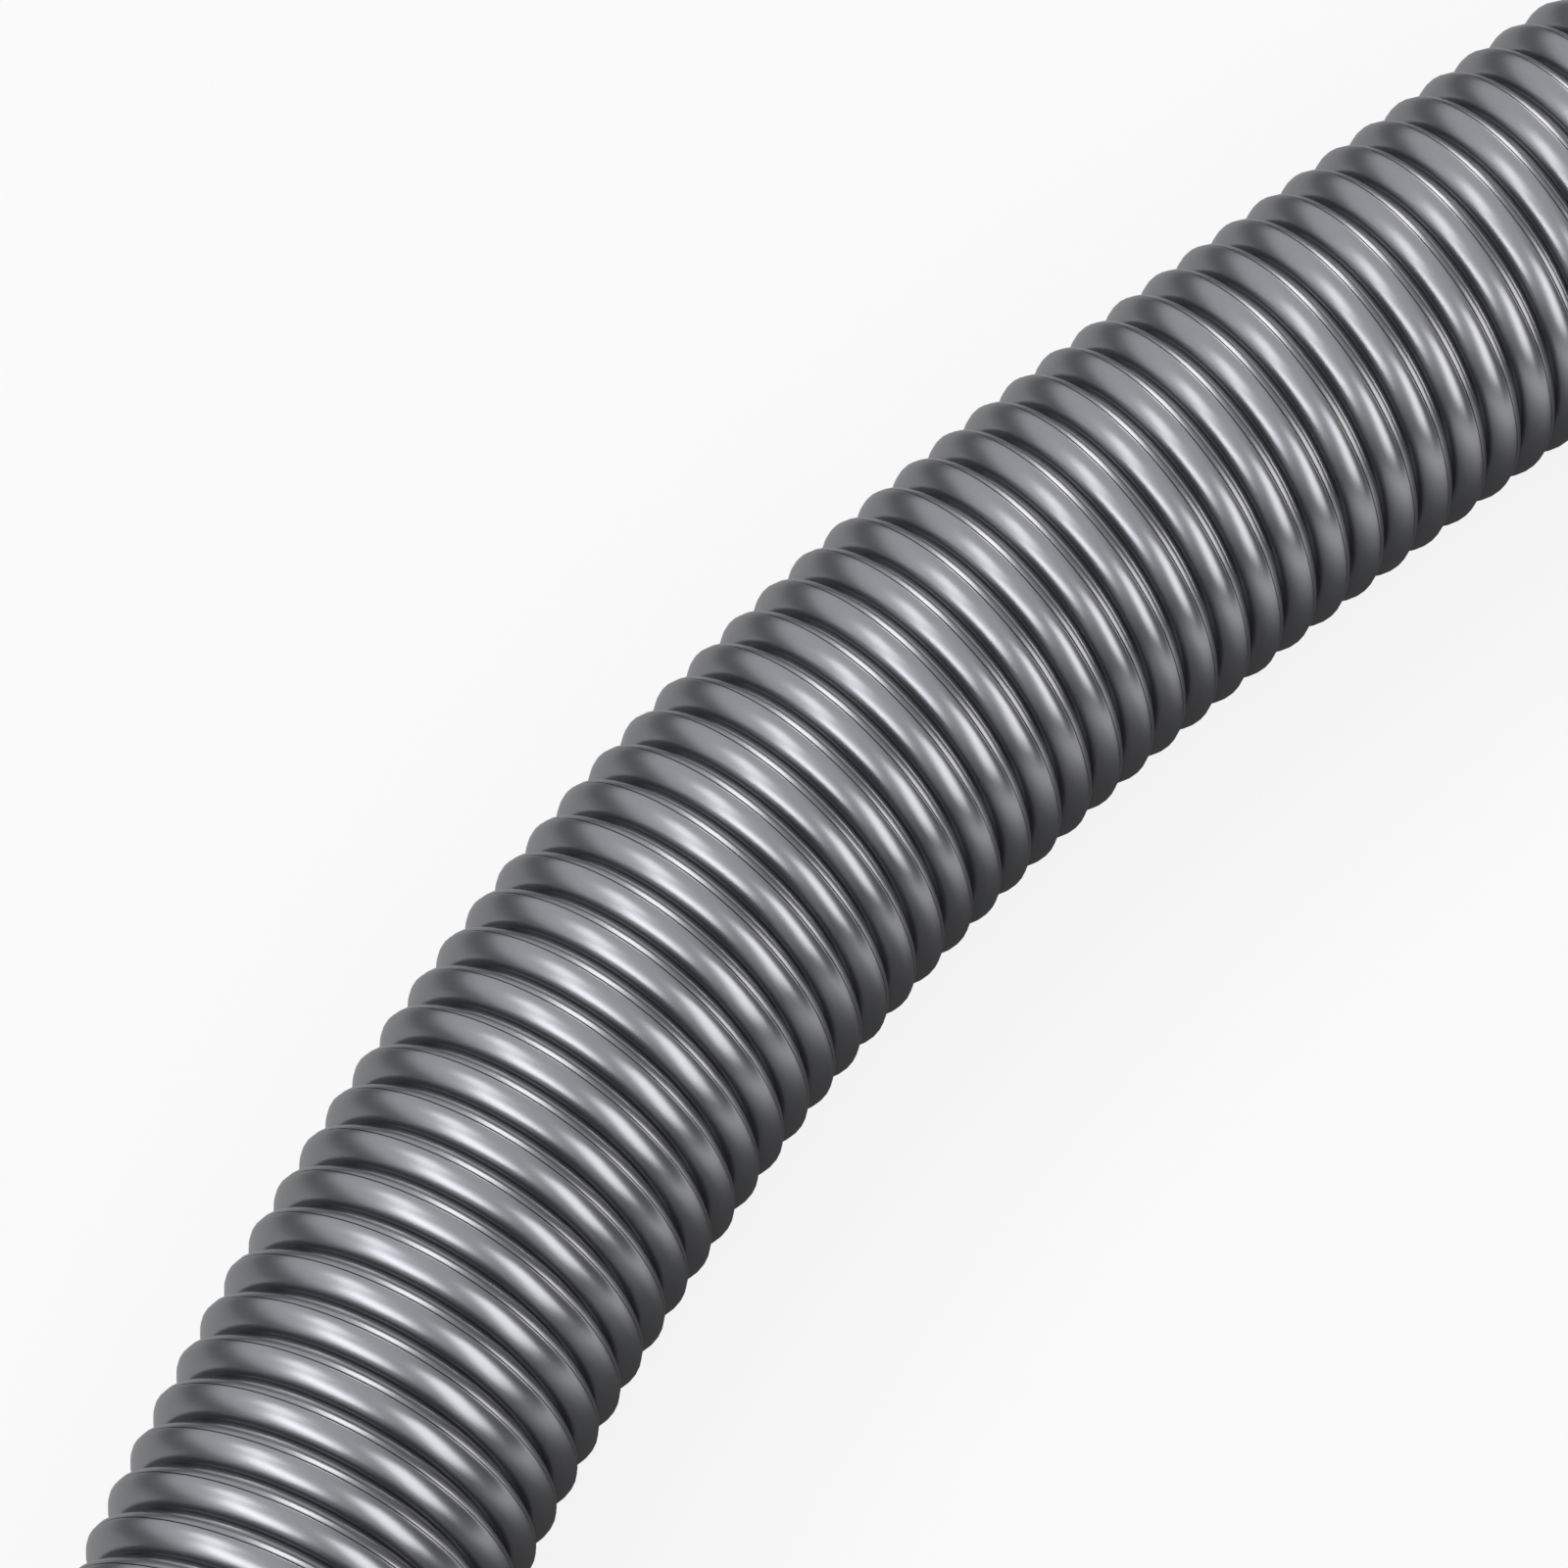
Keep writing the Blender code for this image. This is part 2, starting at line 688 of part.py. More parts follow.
def coil(length, turns, points_per_turn=8):
    """The line of a compression spring along its own Z, its ends inside the length."""
    count = turns * points_per_turn + 1
    rise = length - SPRING_WIRE
    line = []
    for i in range(count):
        angle = 2 * math.pi * i / points_per_turn
        height = SPRING_WIRE / 2 + rise * i / (count - 1)
        radius = SPRING_DIAMETER / 2
        line.append((radius * math.cos(angle), radius * math.sin(angle), height))
    return np.array(line)


def build_spring(name, angle, along, foot, top, frame):
    """Compression spring standing out from its foot to its top on a cuff's side."""
    line = coil(top - foot, SPRING_TURNS)
    spring = tube(name, line, SPRING_WIRE / 2, 1, None, frame)
    turn = side_frame(angle)
    spring.location = turn @ Vector((along, foot, 0.0))
    spring.rotation_euler = (turn @ Matrix.Rotation(-math.pi / 2, 3, "X")).to_euler()
    gap = (top - foot - SPRING_WIRE) / SPRING_TURNS - SPRING_WIRE
    print(f"{name}: least gap between its turns {gap * 1000:.2f} mm")
    return paint(spring, STEEL)


# ------------------------------------------------------------------- the end for the wand


def build_cuff(frame):
    """Swivel cuff: collar, track for the relief ring, socket for the wand and its mouth."""
    track_r = CUFF_R - RELIEF_GROOVE
    profile = [
        (CUFF_FRONT, MOUTH_R - COLLAR_ROUND / 2),
        (CUFF_FRONT - COLLAR_ROUND / 2, MOUTH_R),
        (CUFF_FRONT - MOUTH_LENGTH + COLLAR_ROUND / 2, MOUTH_R),
        (CUFF_FRONT - MOUTH_LENGTH, CUFF_R),
        (RELIEF_FRONT + RUN, CUFF_R),
        (RELIEF_FRONT + RUN, track_r),
        (RELIEF_BACK - RUN, track_r),
        (RELIEF_BACK - RUN, CUFF_R),
        (COLLAR_FRONT, CUFF_R),
    ]
    profile += collar_profile()
    profile += cavity_profile()
    profile.append((SOCKET_FLOOR, BORE_R))
    profile.append((SOCKET_FLOOR, SOCKET_R - SOCKET_TAPER))
    profile.append((CUFF_FRONT, SOCKET_R))
    cuff = turned("tool_cuff", profile, frame)

    ear_inner = LEVER_WIDTH / 2 + RUN
    ear_outer = ear_inner + EAR_THICK
    ear_top = PIVOT_R + PIN_DIAMETER / 2 + GAP + EAR_THICK / 2
    for side, low_y, high_y in (("left", ear_inner, ear_outer), ("right", -ear_outer, -ear_inner)):
        low = (SOCKET_R + CUFF_R / 20, low_y, PIVOT_AT - EAR_LENGTH / 2)
        high = (ear_top, high_y, PIVOT_AT + EAR_LENGTH / 2)
        add_shape(cuff, block("lever_ear_" + side, low, high, frame))
    pin_hole = rod("pin_hole", PIN_DIAMETER / 2 + GAP, 2 * ear_outer + GAP * 4, 12, frame)
    pin_hole.location = (PIVOT_R, 0.0, PIVOT_AT)
    pin_hole.rotation_euler = (math.pi / 2, 0.0, 0.0)
    cut(cuff, pin_hole)

    hook_front = PIVOT_AT + LEVER_NOSE
    hook_half = LEVER_HOOK_WIDTH / 2 + RUN
    low = (BORE_R / 2, -hook_half, hook_front - LEVER_HOOK_LENGTH - RUN * 2)
    high = (COLLAR_R, hook_half, hook_front + RUN * 4)
    cut(cuff, block("hook_slot", low, high, frame))

    well = rod("spring_well", SPRING_HOLE / 2, 2 * (CUFF_R - LEVER_WELL_FLOOR), 12, frame)
    well.location = (CUFF_R, 0.0, LEVER_SPRING_AT)
    well.rotation_euler = (0.0, math.pi / 2, 0.0)
    cut(cuff, well)

    vent_at = (RELIEF_BACK + RELIEF_FRONT) / 2
    low = (BORE_R / 2, -VENT_WIDTH / 2, vent_at - VENT_LENGTH / 2)
    high = (COLLAR_R, VENT_WIDTH / 2, vent_at + VENT_LENGTH / 2)
    cut(cuff, block("relief_vent", low, high, frame, math.radians(VENT_ANGLE_DEG)))
    return paint(cuff, DARK)


LEVER_SPRING_AT = PIVOT_AT - LEVER_TAIL * 0.72
LEVER_WELL_FLOOR = SOCKET_R + 0.0012
LEVER_SPRING_FOOT = LEVER_WELL_FLOOR + GAP
LEVER_SPRING_TOP = LEVER_UNDER + LEVER_THICK * 0.3


def build_relief_ring(frame):
    """Open ring that turns over the vent, with a thumb tab."""
    inner = CUFF_R - RELIEF_GROOVE + RUN
    outer = RELIEF_R
    edge = GAP * 2
    profile = [
        (RELIEF_FRONT, outer - edge),
        (RELIEF_FRONT - edge, outer),
        (RELIEF_BACK + edge, outer),
        (RELIEF_BACK, outer - edge),
        (RELIEF_BACK, inner),
        (RELIEF_FRONT, inner),
    ]
    ring = turned("air_relief_ring", profile, frame)
    closed_by = math.radians(VENT_ANGLE_DEG + RELIEF_GAP_DEG + 12.0)
    half = outer * math.tan(math.radians(RELIEF_GAP_DEG / 2))
    low = (inner * 0.6, -half, RELIEF_BACK - GAP)
    high = (outer * 1.2, half, RELIEF_FRONT + GAP)
    cut(ring, block("relief_gap", low, high, frame, closed_by))
    tab_half = RELIEF_LENGTH * 0.22
    low = (outer - RUN * 2, -tab_half, RELIEF_BACK + edge * 2)
    high = (outer + RELIEF_TAB, tab_half, RELIEF_FRONT - edge * 2)
    add_shape(ring, block("relief_tab", low, high, frame, math.radians(VENT_ANGLE_DEG - 30.0)))
    return paint(ring, GREY)


def build_lever(frame):
    """Lock lever that rocks on its pin and hooks the wand through the cuff's slot."""
    under = LEVER_UNDER - PIVOT_R
    top = under + LEVER_THICK
    hub = LEVER_HUB / 2
    edge = LEVER_THICK * 0.3
    lift = LEVER_THICK * 0.1
    corners = [
        (-LEVER_TAIL, under + lift),
        (-hub * LEVER_HUB_FLARE, under),
        (-hub * 0.5, -hub),
        (hub * 0.5, -hub),
        (hub * LEVER_HUB_FLARE, under),
        (LEVER_NOSE, under + lift),
        (LEVER_NOSE, top - edge),
        (LEVER_NOSE - edge, top),
        (-LEVER_TAIL + edge, top),
        (-LEVER_TAIL, top - edge),
    ]
    lever = outline("wand_lock_lever", corners, LEVER_WIDTH, frame)
    place_on_side(lever, 0.0, PIVOT_AT, PIVOT_R)

    hook_tip = SOCKET_R - LEVER_HOOK_REACH
    hook_front = PIVOT_AT + LEVER_NOSE
    low = (hook_tip, -LEVER_HOOK_WIDTH / 2, hook_front - LEVER_HOOK_LENGTH)
    high = (PIVOT_R, LEVER_HOOK_WIDTH / 2, hook_front - GAP)
    add_shape(lever, block("lever_hook", low, high, frame))

    bore = rod("lever_bore", PIN_DIAMETER / 2 + GAP, LEVER_WIDTH * 1.2, 12, frame)
    bore.location = (PIVOT_R, 0.0, PIVOT_AT)
    bore.rotation_euler = (math.pi / 2, 0.0, 0.0)
    cut(lever, bore)

    depth = LEVER_SPRING_TOP + GAP - LEVER_UNDER
    dimple = rod("lever_dimple", SPRING_HOLE / 2, 2 * depth, 12, frame)
    dimple.location = (LEVER_UNDER, 0.0, LEVER_SPRING_AT)
    dimple.rotation_euler = (0.0, math.pi / 2, 0.0)
    cut(lever, dimple)
    return paint(lever, GREY)


def build_pin(frame):
    """Steel pin of the lock lever."""
    length = LEVER_WIDTH + 2 * RUN + 2 * EAR_THICK
    pin = rod("wand_lock_pin", PIN_DIAMETER / 2, length, 12, frame)
    pin.location = (PIVOT_R, 0.0, PIVOT_AT)
    pin.rotation_euler = (math.pi / 2, 0.0, 0.0)
    return paint(pin, STEEL)


# ---------------------------------------------------------------------------- the assembly


def settle(item):
    """Keep the shape that a piece's modifiers make, and shade its round faces smooth."""
    if not item.modifiers:
        item.data.shade_smooth()
        item.data.set_sharp_from_angle(angle=SHARP_ANGLE)
        return
    materials = list(item.data.materials)
    mesh = evaluated_mesh(item)
    item.modifiers.clear()
    item.data = mesh
    mesh.materials.clear()
    mesh.materials.append(materials[0])
    for face in mesh.polygons:
        face.material_index = 0
    mesh.shade_smooth()
    mesh.set_sharp_from_angle(angle=SHARP_ANGLE)


def build_machine_end(frame):
    """Everything at the end for the cleaner."""
    build_sleeve("machine_hose_sleeve", frame)
    build_guard("machine_bend_guard", frame)
    build_retaining_ring("machine_retaining_ring", frame)
    build_swivel_seal("machine_swivel_seal", frame)
    build_connector(frame)
    build_o_ring(frame)
    for side, angle in (("left", math.pi / 2), ("right", -math.pi / 2)):
        build_latch(side, angle, frame)
        name = "latch_spring_" + side
        build_spring(name, angle, PAD_MIDDLE, LATCH_SPRING_FOOT, LATCH_SPRING_TOP, frame)


def build_tool_end(frame):
    """Everything at the end for the wand."""
    build_sleeve("tool_hose_sleeve", frame)
    build_guard("tool_bend_guard", frame)
    build_retaining_ring("tool_retaining_ring", frame)
    build_swivel_seal("tool_swivel_seal", frame)
    build_cuff(frame)
    build_relief_ring(frame)
    build_lever(frame)
    build_pin(frame)
    name = "wand_lock_spring"
    build_spring(name, 0.0, LEVER_SPRING_AT, LEVER_SPRING_FOOT, LEVER_SPRING_TOP, frame)


def main():
    """Build the hose and both of its ends."""
    gap = least_gap(CENTRELINE, HOSE_OD, 6 * HOSE_OD)
    print(f"hose length {HOSE_LENGTH:.4f} m, least gap between its stretches {gap * 1000:.1f} mm")
    build_hose()
    machine_end = end_frame("machine_end", Vector(CENTRELINE[0]), math.pi / 2)
    tool_end = end_frame("tool_end", Vector(CENTRELINE[-1]), -math.pi / 2)
    bpy.context.view_layer.update()
    build_machine_end(machine_end)
    build_tool_end(tool_end)
    for item in list(PARTS.objects):
        if item.type == "MESH":
            settle(item)


main()
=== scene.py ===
"""Dressed model of the vacuum hose: a silver ribbed hose in one loose loop, with its two cuffs.

Everything is in metres, in the row frame: +Z up, the floor at z = 0.
"""

import math

import bmesh
import bpy
import numpy as np
from mathutils import Matrix, Vector


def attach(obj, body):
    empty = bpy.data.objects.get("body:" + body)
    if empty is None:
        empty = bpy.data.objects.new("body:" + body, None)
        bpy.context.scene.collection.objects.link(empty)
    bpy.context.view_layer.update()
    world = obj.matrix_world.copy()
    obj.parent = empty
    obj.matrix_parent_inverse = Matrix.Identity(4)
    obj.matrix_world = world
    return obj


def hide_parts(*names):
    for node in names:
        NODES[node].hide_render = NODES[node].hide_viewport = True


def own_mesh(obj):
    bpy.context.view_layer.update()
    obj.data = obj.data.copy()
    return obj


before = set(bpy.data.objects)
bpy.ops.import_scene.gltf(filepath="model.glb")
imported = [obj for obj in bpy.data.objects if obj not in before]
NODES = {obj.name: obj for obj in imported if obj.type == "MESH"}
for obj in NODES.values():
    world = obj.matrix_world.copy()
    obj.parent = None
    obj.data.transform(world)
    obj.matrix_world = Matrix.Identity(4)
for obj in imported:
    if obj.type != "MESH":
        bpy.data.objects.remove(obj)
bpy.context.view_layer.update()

# ------------------------------------------------------------------------------ the camera

CAMERA_AT = (-0.3100, -0.0230, 0.6815)
CAMERA_TARGET = (-0.0232, 0.2176, 0.0200)
CAMERA_LENS = 169.7
SENSOR = 36.0


def make_camera():
    """The camera, which looks down on the far side of the loop."""
    data = bpy.data.cameras.new("camera")
    data.lens = CAMERA_LENS
    data.sensor_width = SENSOR
    data.clip_start = 0.01
    data.clip_end = 20.0
    camera = bpy.data.objects.new("camera", data)
    bpy.context.scene.collection.objects.link(camera)
    camera.location = CAMERA_AT
    aim = Vector(CAMERA_TARGET) - Vector(CAMERA_AT)
    camera.rotation_euler = aim.to_track_quat("-Z", "Y").to_euler()
    bpy.context.scene.camera = camera


make_camera()

# ------------------------------------------------------------------------------- the route

# The route of the hose's centreline: x, y, and how far it is lifted, from 0 where it lies on
# the floor to 1 at the height of the cuffs.
ROUTE = (
    (0.035, -0.148, 1.0),
    (-0.021, -0.148, 1.0),
    (-0.076, -0.148, 1.0),
    (-0.132, -0.148, 1.0),
    (-0.185, -0.128, 0.5),
    (-0.229, -0.093, 0.1),
    (-0.259, -0.045, 0.0),
    (-0.272, 0.010, 0.0),
    (-0.267, 0.066, 0.0),
    (-0.245, 0.117, 0.0),
    (-0.206, 0.159, 0.0),
    (-0.157, 0.185, 0.0),
    (-0.105, 0.203, 0.0),
    (-0.050, 0.214, 0.0),
    (0.006, 0.213, 0.0),
    (0.061, 0.203, 0.0),
    (0.116, 0.193, 0.0),
    (0.168, 0.173, 0.0),
    (0.213, 0.139, 0.0),
    (0.246, 0.095, 0.0),
    (0.267, 0.042, 0.0),
    (0.272, -0.013, 0.0),
    (0.262, -0.069, 0.0),
    (0.238, -0.119, 0.0),
    (0.200, -0.161, 0.1),
    (0.153, -0.191, 0.5),
    (0.099, -0.208, 1.0),
    (0.044, -0.208, 1.0),
    (-0.012, -0.208, 1.0),
    (-0.067, -0.208, 1.0),
)
HOSE_R = 0.020
BORE_R = 0.016
AXIS_HEIGHT = 0.025  # of the cuffs


def smooth_curve(points, per_span=24):
    """A uniform cubic B-spline on the route's points."""
    spans = []
    for i in range(len(points) - 3):
        t = np.linspace(0.0, 1.0, per_span, endpoint=False)[:, None]
        spans.append(
            (1 - t) ** 3 / 6 * points[i]
            + (3 * t**3 - 6 * t**2 + 4) / 6 * points[i + 1]
            + (-3 * t**3 + 3 * t**2 + 3 * t + 1) / 6 * points[i + 2]
            + t**3 / 6 * points[i + 3]
        )
    spans.append(((points[-3] + 4 * points[-2] + points[-1]) / 6)[None, :])
    return np.concatenate(spans)


def route_points():
    """The route's points in space."""
    points = np.array(ROUTE)
    points[:, 2] = HOSE_R + points[:, 2] * (AXIS_HEIGHT - HOSE_R)
    return points


CENTRELINE = smooth_curve(route_points())
ALONG = np.concatenate([[0.0], np.cumsum(np.linalg.norm(np.diff(CENTRELINE, axis=0), axis=1))])
HOSE_LENGTH = ALONG[-1]


def points_at(wanted):
    """Points of the centreline at distances along it."""
    return np.stack([np.interp(wanted, ALONG, CENTRELINE[:, k]) for k in range(3)], axis=1)


# ---------------------------------------------------------------------------- mesh helpers


def link(item):
    """Put an object in the scene."""
    bpy.context.scene.collection.objects.link(item)
    return item


def grid_mesh(name, points, faces):
    """A mesh from arrays of points and of four-cornered faces."""
    mesh = bpy.data.meshes.new(name)
    mesh.vertices.add(len(points))
    mesh.vertices.foreach_set("co", points.astype(np.float32).ravel())
    mesh.loops.add(faces.size)
    mesh.loops.foreach_set("vertex_index", faces.astype(np.int32).ravel())
    mesh.polygons.add(len(faces))
    mesh.polygons.foreach_set("loop_start", np.arange(0, faces.size, 4, dtype=np.int32))
    mesh.update(calc_edges=True)
    return mesh


def nodes_of(material):
    """A material's node tree, its nodes, and its shader."""
    tree = material.node_tree
    return tree, tree.nodes, tree.nodes["Principled BSDF"]


def new_material(name, colour, roughness, metallic=0.0):
    """A Principled material to which detail is added."""
    material = bpy.data.materials.new(name)
    material.use_nodes = True
    shader = nodes_of(material)[2]
    shader.inputs["Base Color"].default_value = (*colour, 1.0)
    shader.inputs["Roughness"].default_value = roughness
    shader.inputs["Metallic"].default_value = metallic
    return material


def feed(tree, socket, value):
    """Link a socket to another one, or set it to a number or a colour."""
    if isinstance(value, bpy.types.NodeSocket):
        tree.links.new(value, socket)
    elif isinstance(value, tuple):
        socket.default_value = (*value, 1.0)
    else:
        socket.default_value = value


def mapped(tree, source, low, high, out_low=0.0, out_high=1.0):
    """A value mapped from one range to another."""
    node = tree.nodes.new("ShaderNodeMapRange")
    ranges = {"From Min": low, "From Max": high, "To Min": out_low, "To Max": out_high}
    for name, value in {"Value": source, **ranges}.items():
        feed(tree, node.inputs[name], value)
    return node.outputs["Result"]


def mixed(tree, factor, first, second, blend="MIX"):
    """A mix of two colours."""
    node = tree.nodes.new("ShaderNodeMix")
    node.data_type = "RGBA"
    node.blend_type = blend
    for name, value in (("Factor", factor), ("A", first), ("B", second)):
        feed(tree, node.inputs[name], value)
    return node.outputs["Result"]


def worked_out(tree, operation, *values):
    """A value worked out from others."""
    node = tree.nodes.new("ShaderNodeMath")
    node.operation = operation
    for socket, value in zip(node.inputs, values):
        feed(tree, socket, value)
    return node.outputs[0]


def noise(tree, vector, scale, detail, dimensions="3D"):
    """A noise pattern on a vector."""
    node = tree.nodes.new("ShaderNodeTexNoise")
    node.noise_dimensions = dimensions
    feed(tree, node.inputs["Vector"], vector)
    feed(tree, node.inputs["Scale"], scale)
    feed(tree, node.inputs["Detail"], detail)
    return node.outputs["Fac"]


def set_ramp(node, levels, tint=(1.0, 1.0, 1.0)):
    """Give a colour ramp its grey levels."""
    stops = node.color_ramp.elements
    while len(stops) < len(levels):
        stops.new(0.5)
    for stop, (position, level) in zip(stops, levels):
        stop.position = position
        stop.color = (level * tint[0], level * tint[1], level * tint[2], 1.0)


def directly_seen(tree, ray):
    """1 for the rays that come from the camera, also through something clear."""
    return worked_out(
        tree, "MAXIMUM", ray.outputs["Is Camera Ray"], ray.outputs["Is Transmission Ray"]
    )


# -------------------------------------------------------------------------------- the hose

PITCH = 0.004892  # of the one left-handed helix
CREST_AT = 0.61256  # distance along the hose of one crest, on the level of TURN_ZERO
TURN_ZERO = 20.0  # degrees round the hose, from its left side upward

# One turn of the strip, in millimetres, from groove to groove: the distance along the hose from
# the lap line, and the radius. The broad flank comes first, then the lap, the ledge and the wall.
RIB = (
    (-2.70, 17.43),
    (-2.66, 17.80),
    (-2.61, 18.08),
    (-2.54, 18.29),
    (-2.45, 18.46),
    (-2.32, 18.64),
    (-2.14, 18.85),
    (-1.86, 19.125),
    (-1.54, 19.385),
    (-1.20, 19.615),
    (-0.90, 19.772),
    (-0.60, 19.890),
    (-0.35, 19.952),
    (-0.15, 19.97),
    (-0.08, 19.966),
    (-0.05, 19.95),
    (-0.01, 19.85),
    (0.04, 19.868),
    (0.16, 19.856),
    (0.30, 19.825),
    (0.44, 19.783),
    (0.57, 19.730),
    (0.69, 19.662),
    (0.79, 19.582),
    (0.87, 19.490),
    (0.94, 19.360),
    (1.00, 19.160),
    (1.05, 18.800),
    (1.11, 18.10),
    (1.20, 17.55),
    (1.60, 17.40),
)
SEAM = slice(15, 18)  # the points of the rib at which the strip's lap shows dark

# How much darker the tint is along the rib: painted shade over the ledge's drop and in the groove.
GROOVE_PAINTED_SHADE = (
    (-2.70, 0.15),
    (-2.45, 0.0),
    (0.57, 0.0),
    (0.98, 0.42),
    (1.20, 0.40),
    (1.60, 0.15),
)
AROUND = 64  # points to a turn

# The skin's map has one row to a turn of the strip, and the bore's wall lies above the rows.
MAP_NAME = "OFBake"
SKIN_SHARE = 0.98  # of the map's height
RIB_SHARE = 1 / 1.12  # of a row's height, and the rest keeps two rows apart
GROOVE_SHARE = 0.05  # of a row's height

SILVER = (0.36, 0.365, 0.38)
# dark colour of the strip's lap line, and of the painted shade in the grooves
LAP_AND_SHADE_TINT = (0.03, 0.03, 0.035)


def hose_mesh():
    """The hose as one helical strip, with its bore and its two ends."""
    profile = np.array(RIB) / 1000.0
    count = len(profile)
    turns = int(HOSE_LENGTH / PITCH) + 3
    steps = turns * AROUND
    step = np.arange(steps + 1)
    first = CREST_AT - math.ceil(CREST_AT / PITCH + 1) * PITCH
    angle = math.radians(TURN_ZERO) - 2 * math.pi * step / AROUND
    along = first + PITCH * step[:, None] / AROUND + profile[None, :, 0]
    radius = np.broadcast_to(profile[None, :, 1], along.shape)
    turn = np.broadcast_to(angle[:, None], along.shape)
    inside = np.clip(along, 0.0, HOSE_LENGTH)
    place = on_hose(inside.ravel(), turn.ravel(), radius.ravel())
    index = np.arange((steps + 1) * count).reshape(steps + 1, count)
    strip = strip_faces(index[:-1, :-1], index[1:, :-1], index[1:, 1:], index[:-1, 1:])
    last, next_first = index[: steps - AROUND + 1, -1], index[AROUND:, 0]
    groove = strip_faces(last[:-1], last[1:], next_first[1:], next_first[:-1])
    every = np.concatenate([strip, groove])
    flat = along.ravel()[every]
    gone = (flat <= 0.0).all(axis=1) | (flat >= HOSE_LENGTH).all(axis=1)
    across = np.concatenate([[0.0], np.cumsum(np.linalg.norm(np.diff(profile, axis=0), axis=1))])
    across *= RIB_SHARE / across[-1]
    row = 1 / (turns + 1)
    here = np.stack(
        [
            np.broadcast_to((step % AROUND)[:, None] / AROUND, along.shape),
            (step[:, None] // AROUND + across[None, :]) * row,
        ],
        axis=2,
    ).reshape(-1, 2)
    every = every[~gone]
    corner = here[every]
    # a face at the end of a turn, or over a groove, stays in the row of its first corner
    corner[:, 1, 0] = np.where(corner[:, 1, 0] < corner[:, 0, 0], 1.0, corner[:, 1, 0])
    wraps = corner[:, 1, 0] == 1.0
    corner[wraps, 1, 1] -= row
    corner[:, 2] = np.stack([corner[:, 1, 0], corner[:, 3, 1]], axis=1)
    corner[:, 3, 0] = corner[:, 0, 0]
    over = corner[:, 3, 1] - corner[:, 0, 1] > 0.5 * row
    corner[over, 3, 1] = corner[over, 0, 1] + GROOVE_SHARE * row
    corner[over, 2, 1] = corner[over, 3, 1]
    corner[:, :, 1] *= SKIN_SHARE
    wall, wall_faces, wall_corner = bore_wall(place, along.ravel(), every, np.repeat(step, count))
    place = np.concatenate([place, wall])
    every = np.concatenate([every, wall_faces])[:, ::-1]
    corner = np.concatenate([corner, wall_corner])[:, ::-1]
    dark = np.zeros(len(place))
    # painted shade down into the groove, then full darkness at the lap line's points
    lap_and_painted_shade = np.interp(profile[:, 0] * 1000.0, *zip(*GROOVE_PAINTED_SHADE))
    lap_and_painted_shade[SEAM] = 1.0
    dark[: along.size] = np.tile(lap_and_painted_shade, steps + 1)
    used, every = np.unique(every, return_inverse=True)
    return place[used], every.reshape(-1, 4), corner, dark[used]


def bore_wall(place, along, faces, step):
    """The plain wall of the bore, joined at both ends to the rim of the skin."""
    rings = np.linspace(0.0, HOSE_LENGTH, int(HOSE_LENGTH / PITCH))
    turn = math.radians(TURN_ZERO) - 2 * math.pi * np.arange(AROUND) / AROUND
    wall = on_hose(
        np.repeat(rings, AROUND), np.tile(turn, len(rings)), np.full(len(rings) * AROUND, BORE_R)
    )
    first = len(place)
    ring, side = np.meshgrid(np.arange(len(rings) - 1), np.arange(AROUND), indexing="ij")
    ring, side = ring.ravel(), side.ravel()
    after = (side + 1) % AROUND
    near, far = first + ring * AROUND, first + (ring + 1) * AROUND
    quads = [strip_faces(near + side, far + side, far + after, near + after)]
    round_here = side / AROUND
    round_next = (side + 1) / AROUND
    low = SKIN_SHARE + (1 - SKIN_SHARE) * ring / len(rings)
    high = SKIN_SHARE + (1 - SKIN_SHARE) * (ring + 1) / len(rings)
    corners = [
        np.stack(
            [
                np.stack([round_here, low], axis=1),
                np.stack([round_here, high], axis=1),
                np.stack([round_next, high], axis=1),
                np.stack([round_next, low], axis=1),
            ],
            axis=1,
        )
    ]
    edges = np.stack([faces, np.roll(faces, -1, axis=1)], axis=2).reshape(-1, 2)
    last = first + (len(rings) - 1) * AROUND
    for outside, base in ((along <= 0.0, first), (along >= HOSE_LENGTH, last)):
        rim = edges[outside[edges].all(axis=1)]
        key, times = np.unique(np.sort(rim, axis=1), axis=0, return_counts=True)
        single = {tuple(pair) for pair in key[times == 1]}
        rim = np.array([pair for pair in rim if tuple(sorted(pair)) in single])
        rim = rim[step[rim[:, 0]] % AROUND != step[rim[:, 1]] % AROUND]
        inner = base + step[rim] % AROUND
        quads.append(strip_faces(rim[:, 1], rim[:, 0], inner[:, 0], inner[:, 1]))
        corners.append(np.tile((0.0, 1.0), (len(rim), 4, 1)))
    return wall, np.concatenate(quads), np.concatenate(corners)


def strip_faces(a, b, c, d):
    """Four-cornered faces from four arrays of corners."""
    return np.stack([a.ravel(), b.ravel(), c.ravel(), d.ravel()], axis=1)


def on_hose(along, turn, radius):
    """Points at distances along the hose, angles round it, and radii."""
    small = 0.0005
    middle = points_at(along)
    ahead = points_at(np.minimum(along + small, HOSE_LENGTH))
    heading = ahead - points_at(np.maximum(along - small, 0.0))
    heading /= np.linalg.norm(heading, axis=1)[:, None]
    left = np.cross((0.0, 0.0, 1.0), heading)
    left /= np.linalg.norm(left, axis=1)[:, None]
    up = np.cross(heading, left)
    return middle + radius[:, None] * (np.cos(turn)[:, None] * left + np.sin(turn)[:, None] * up)


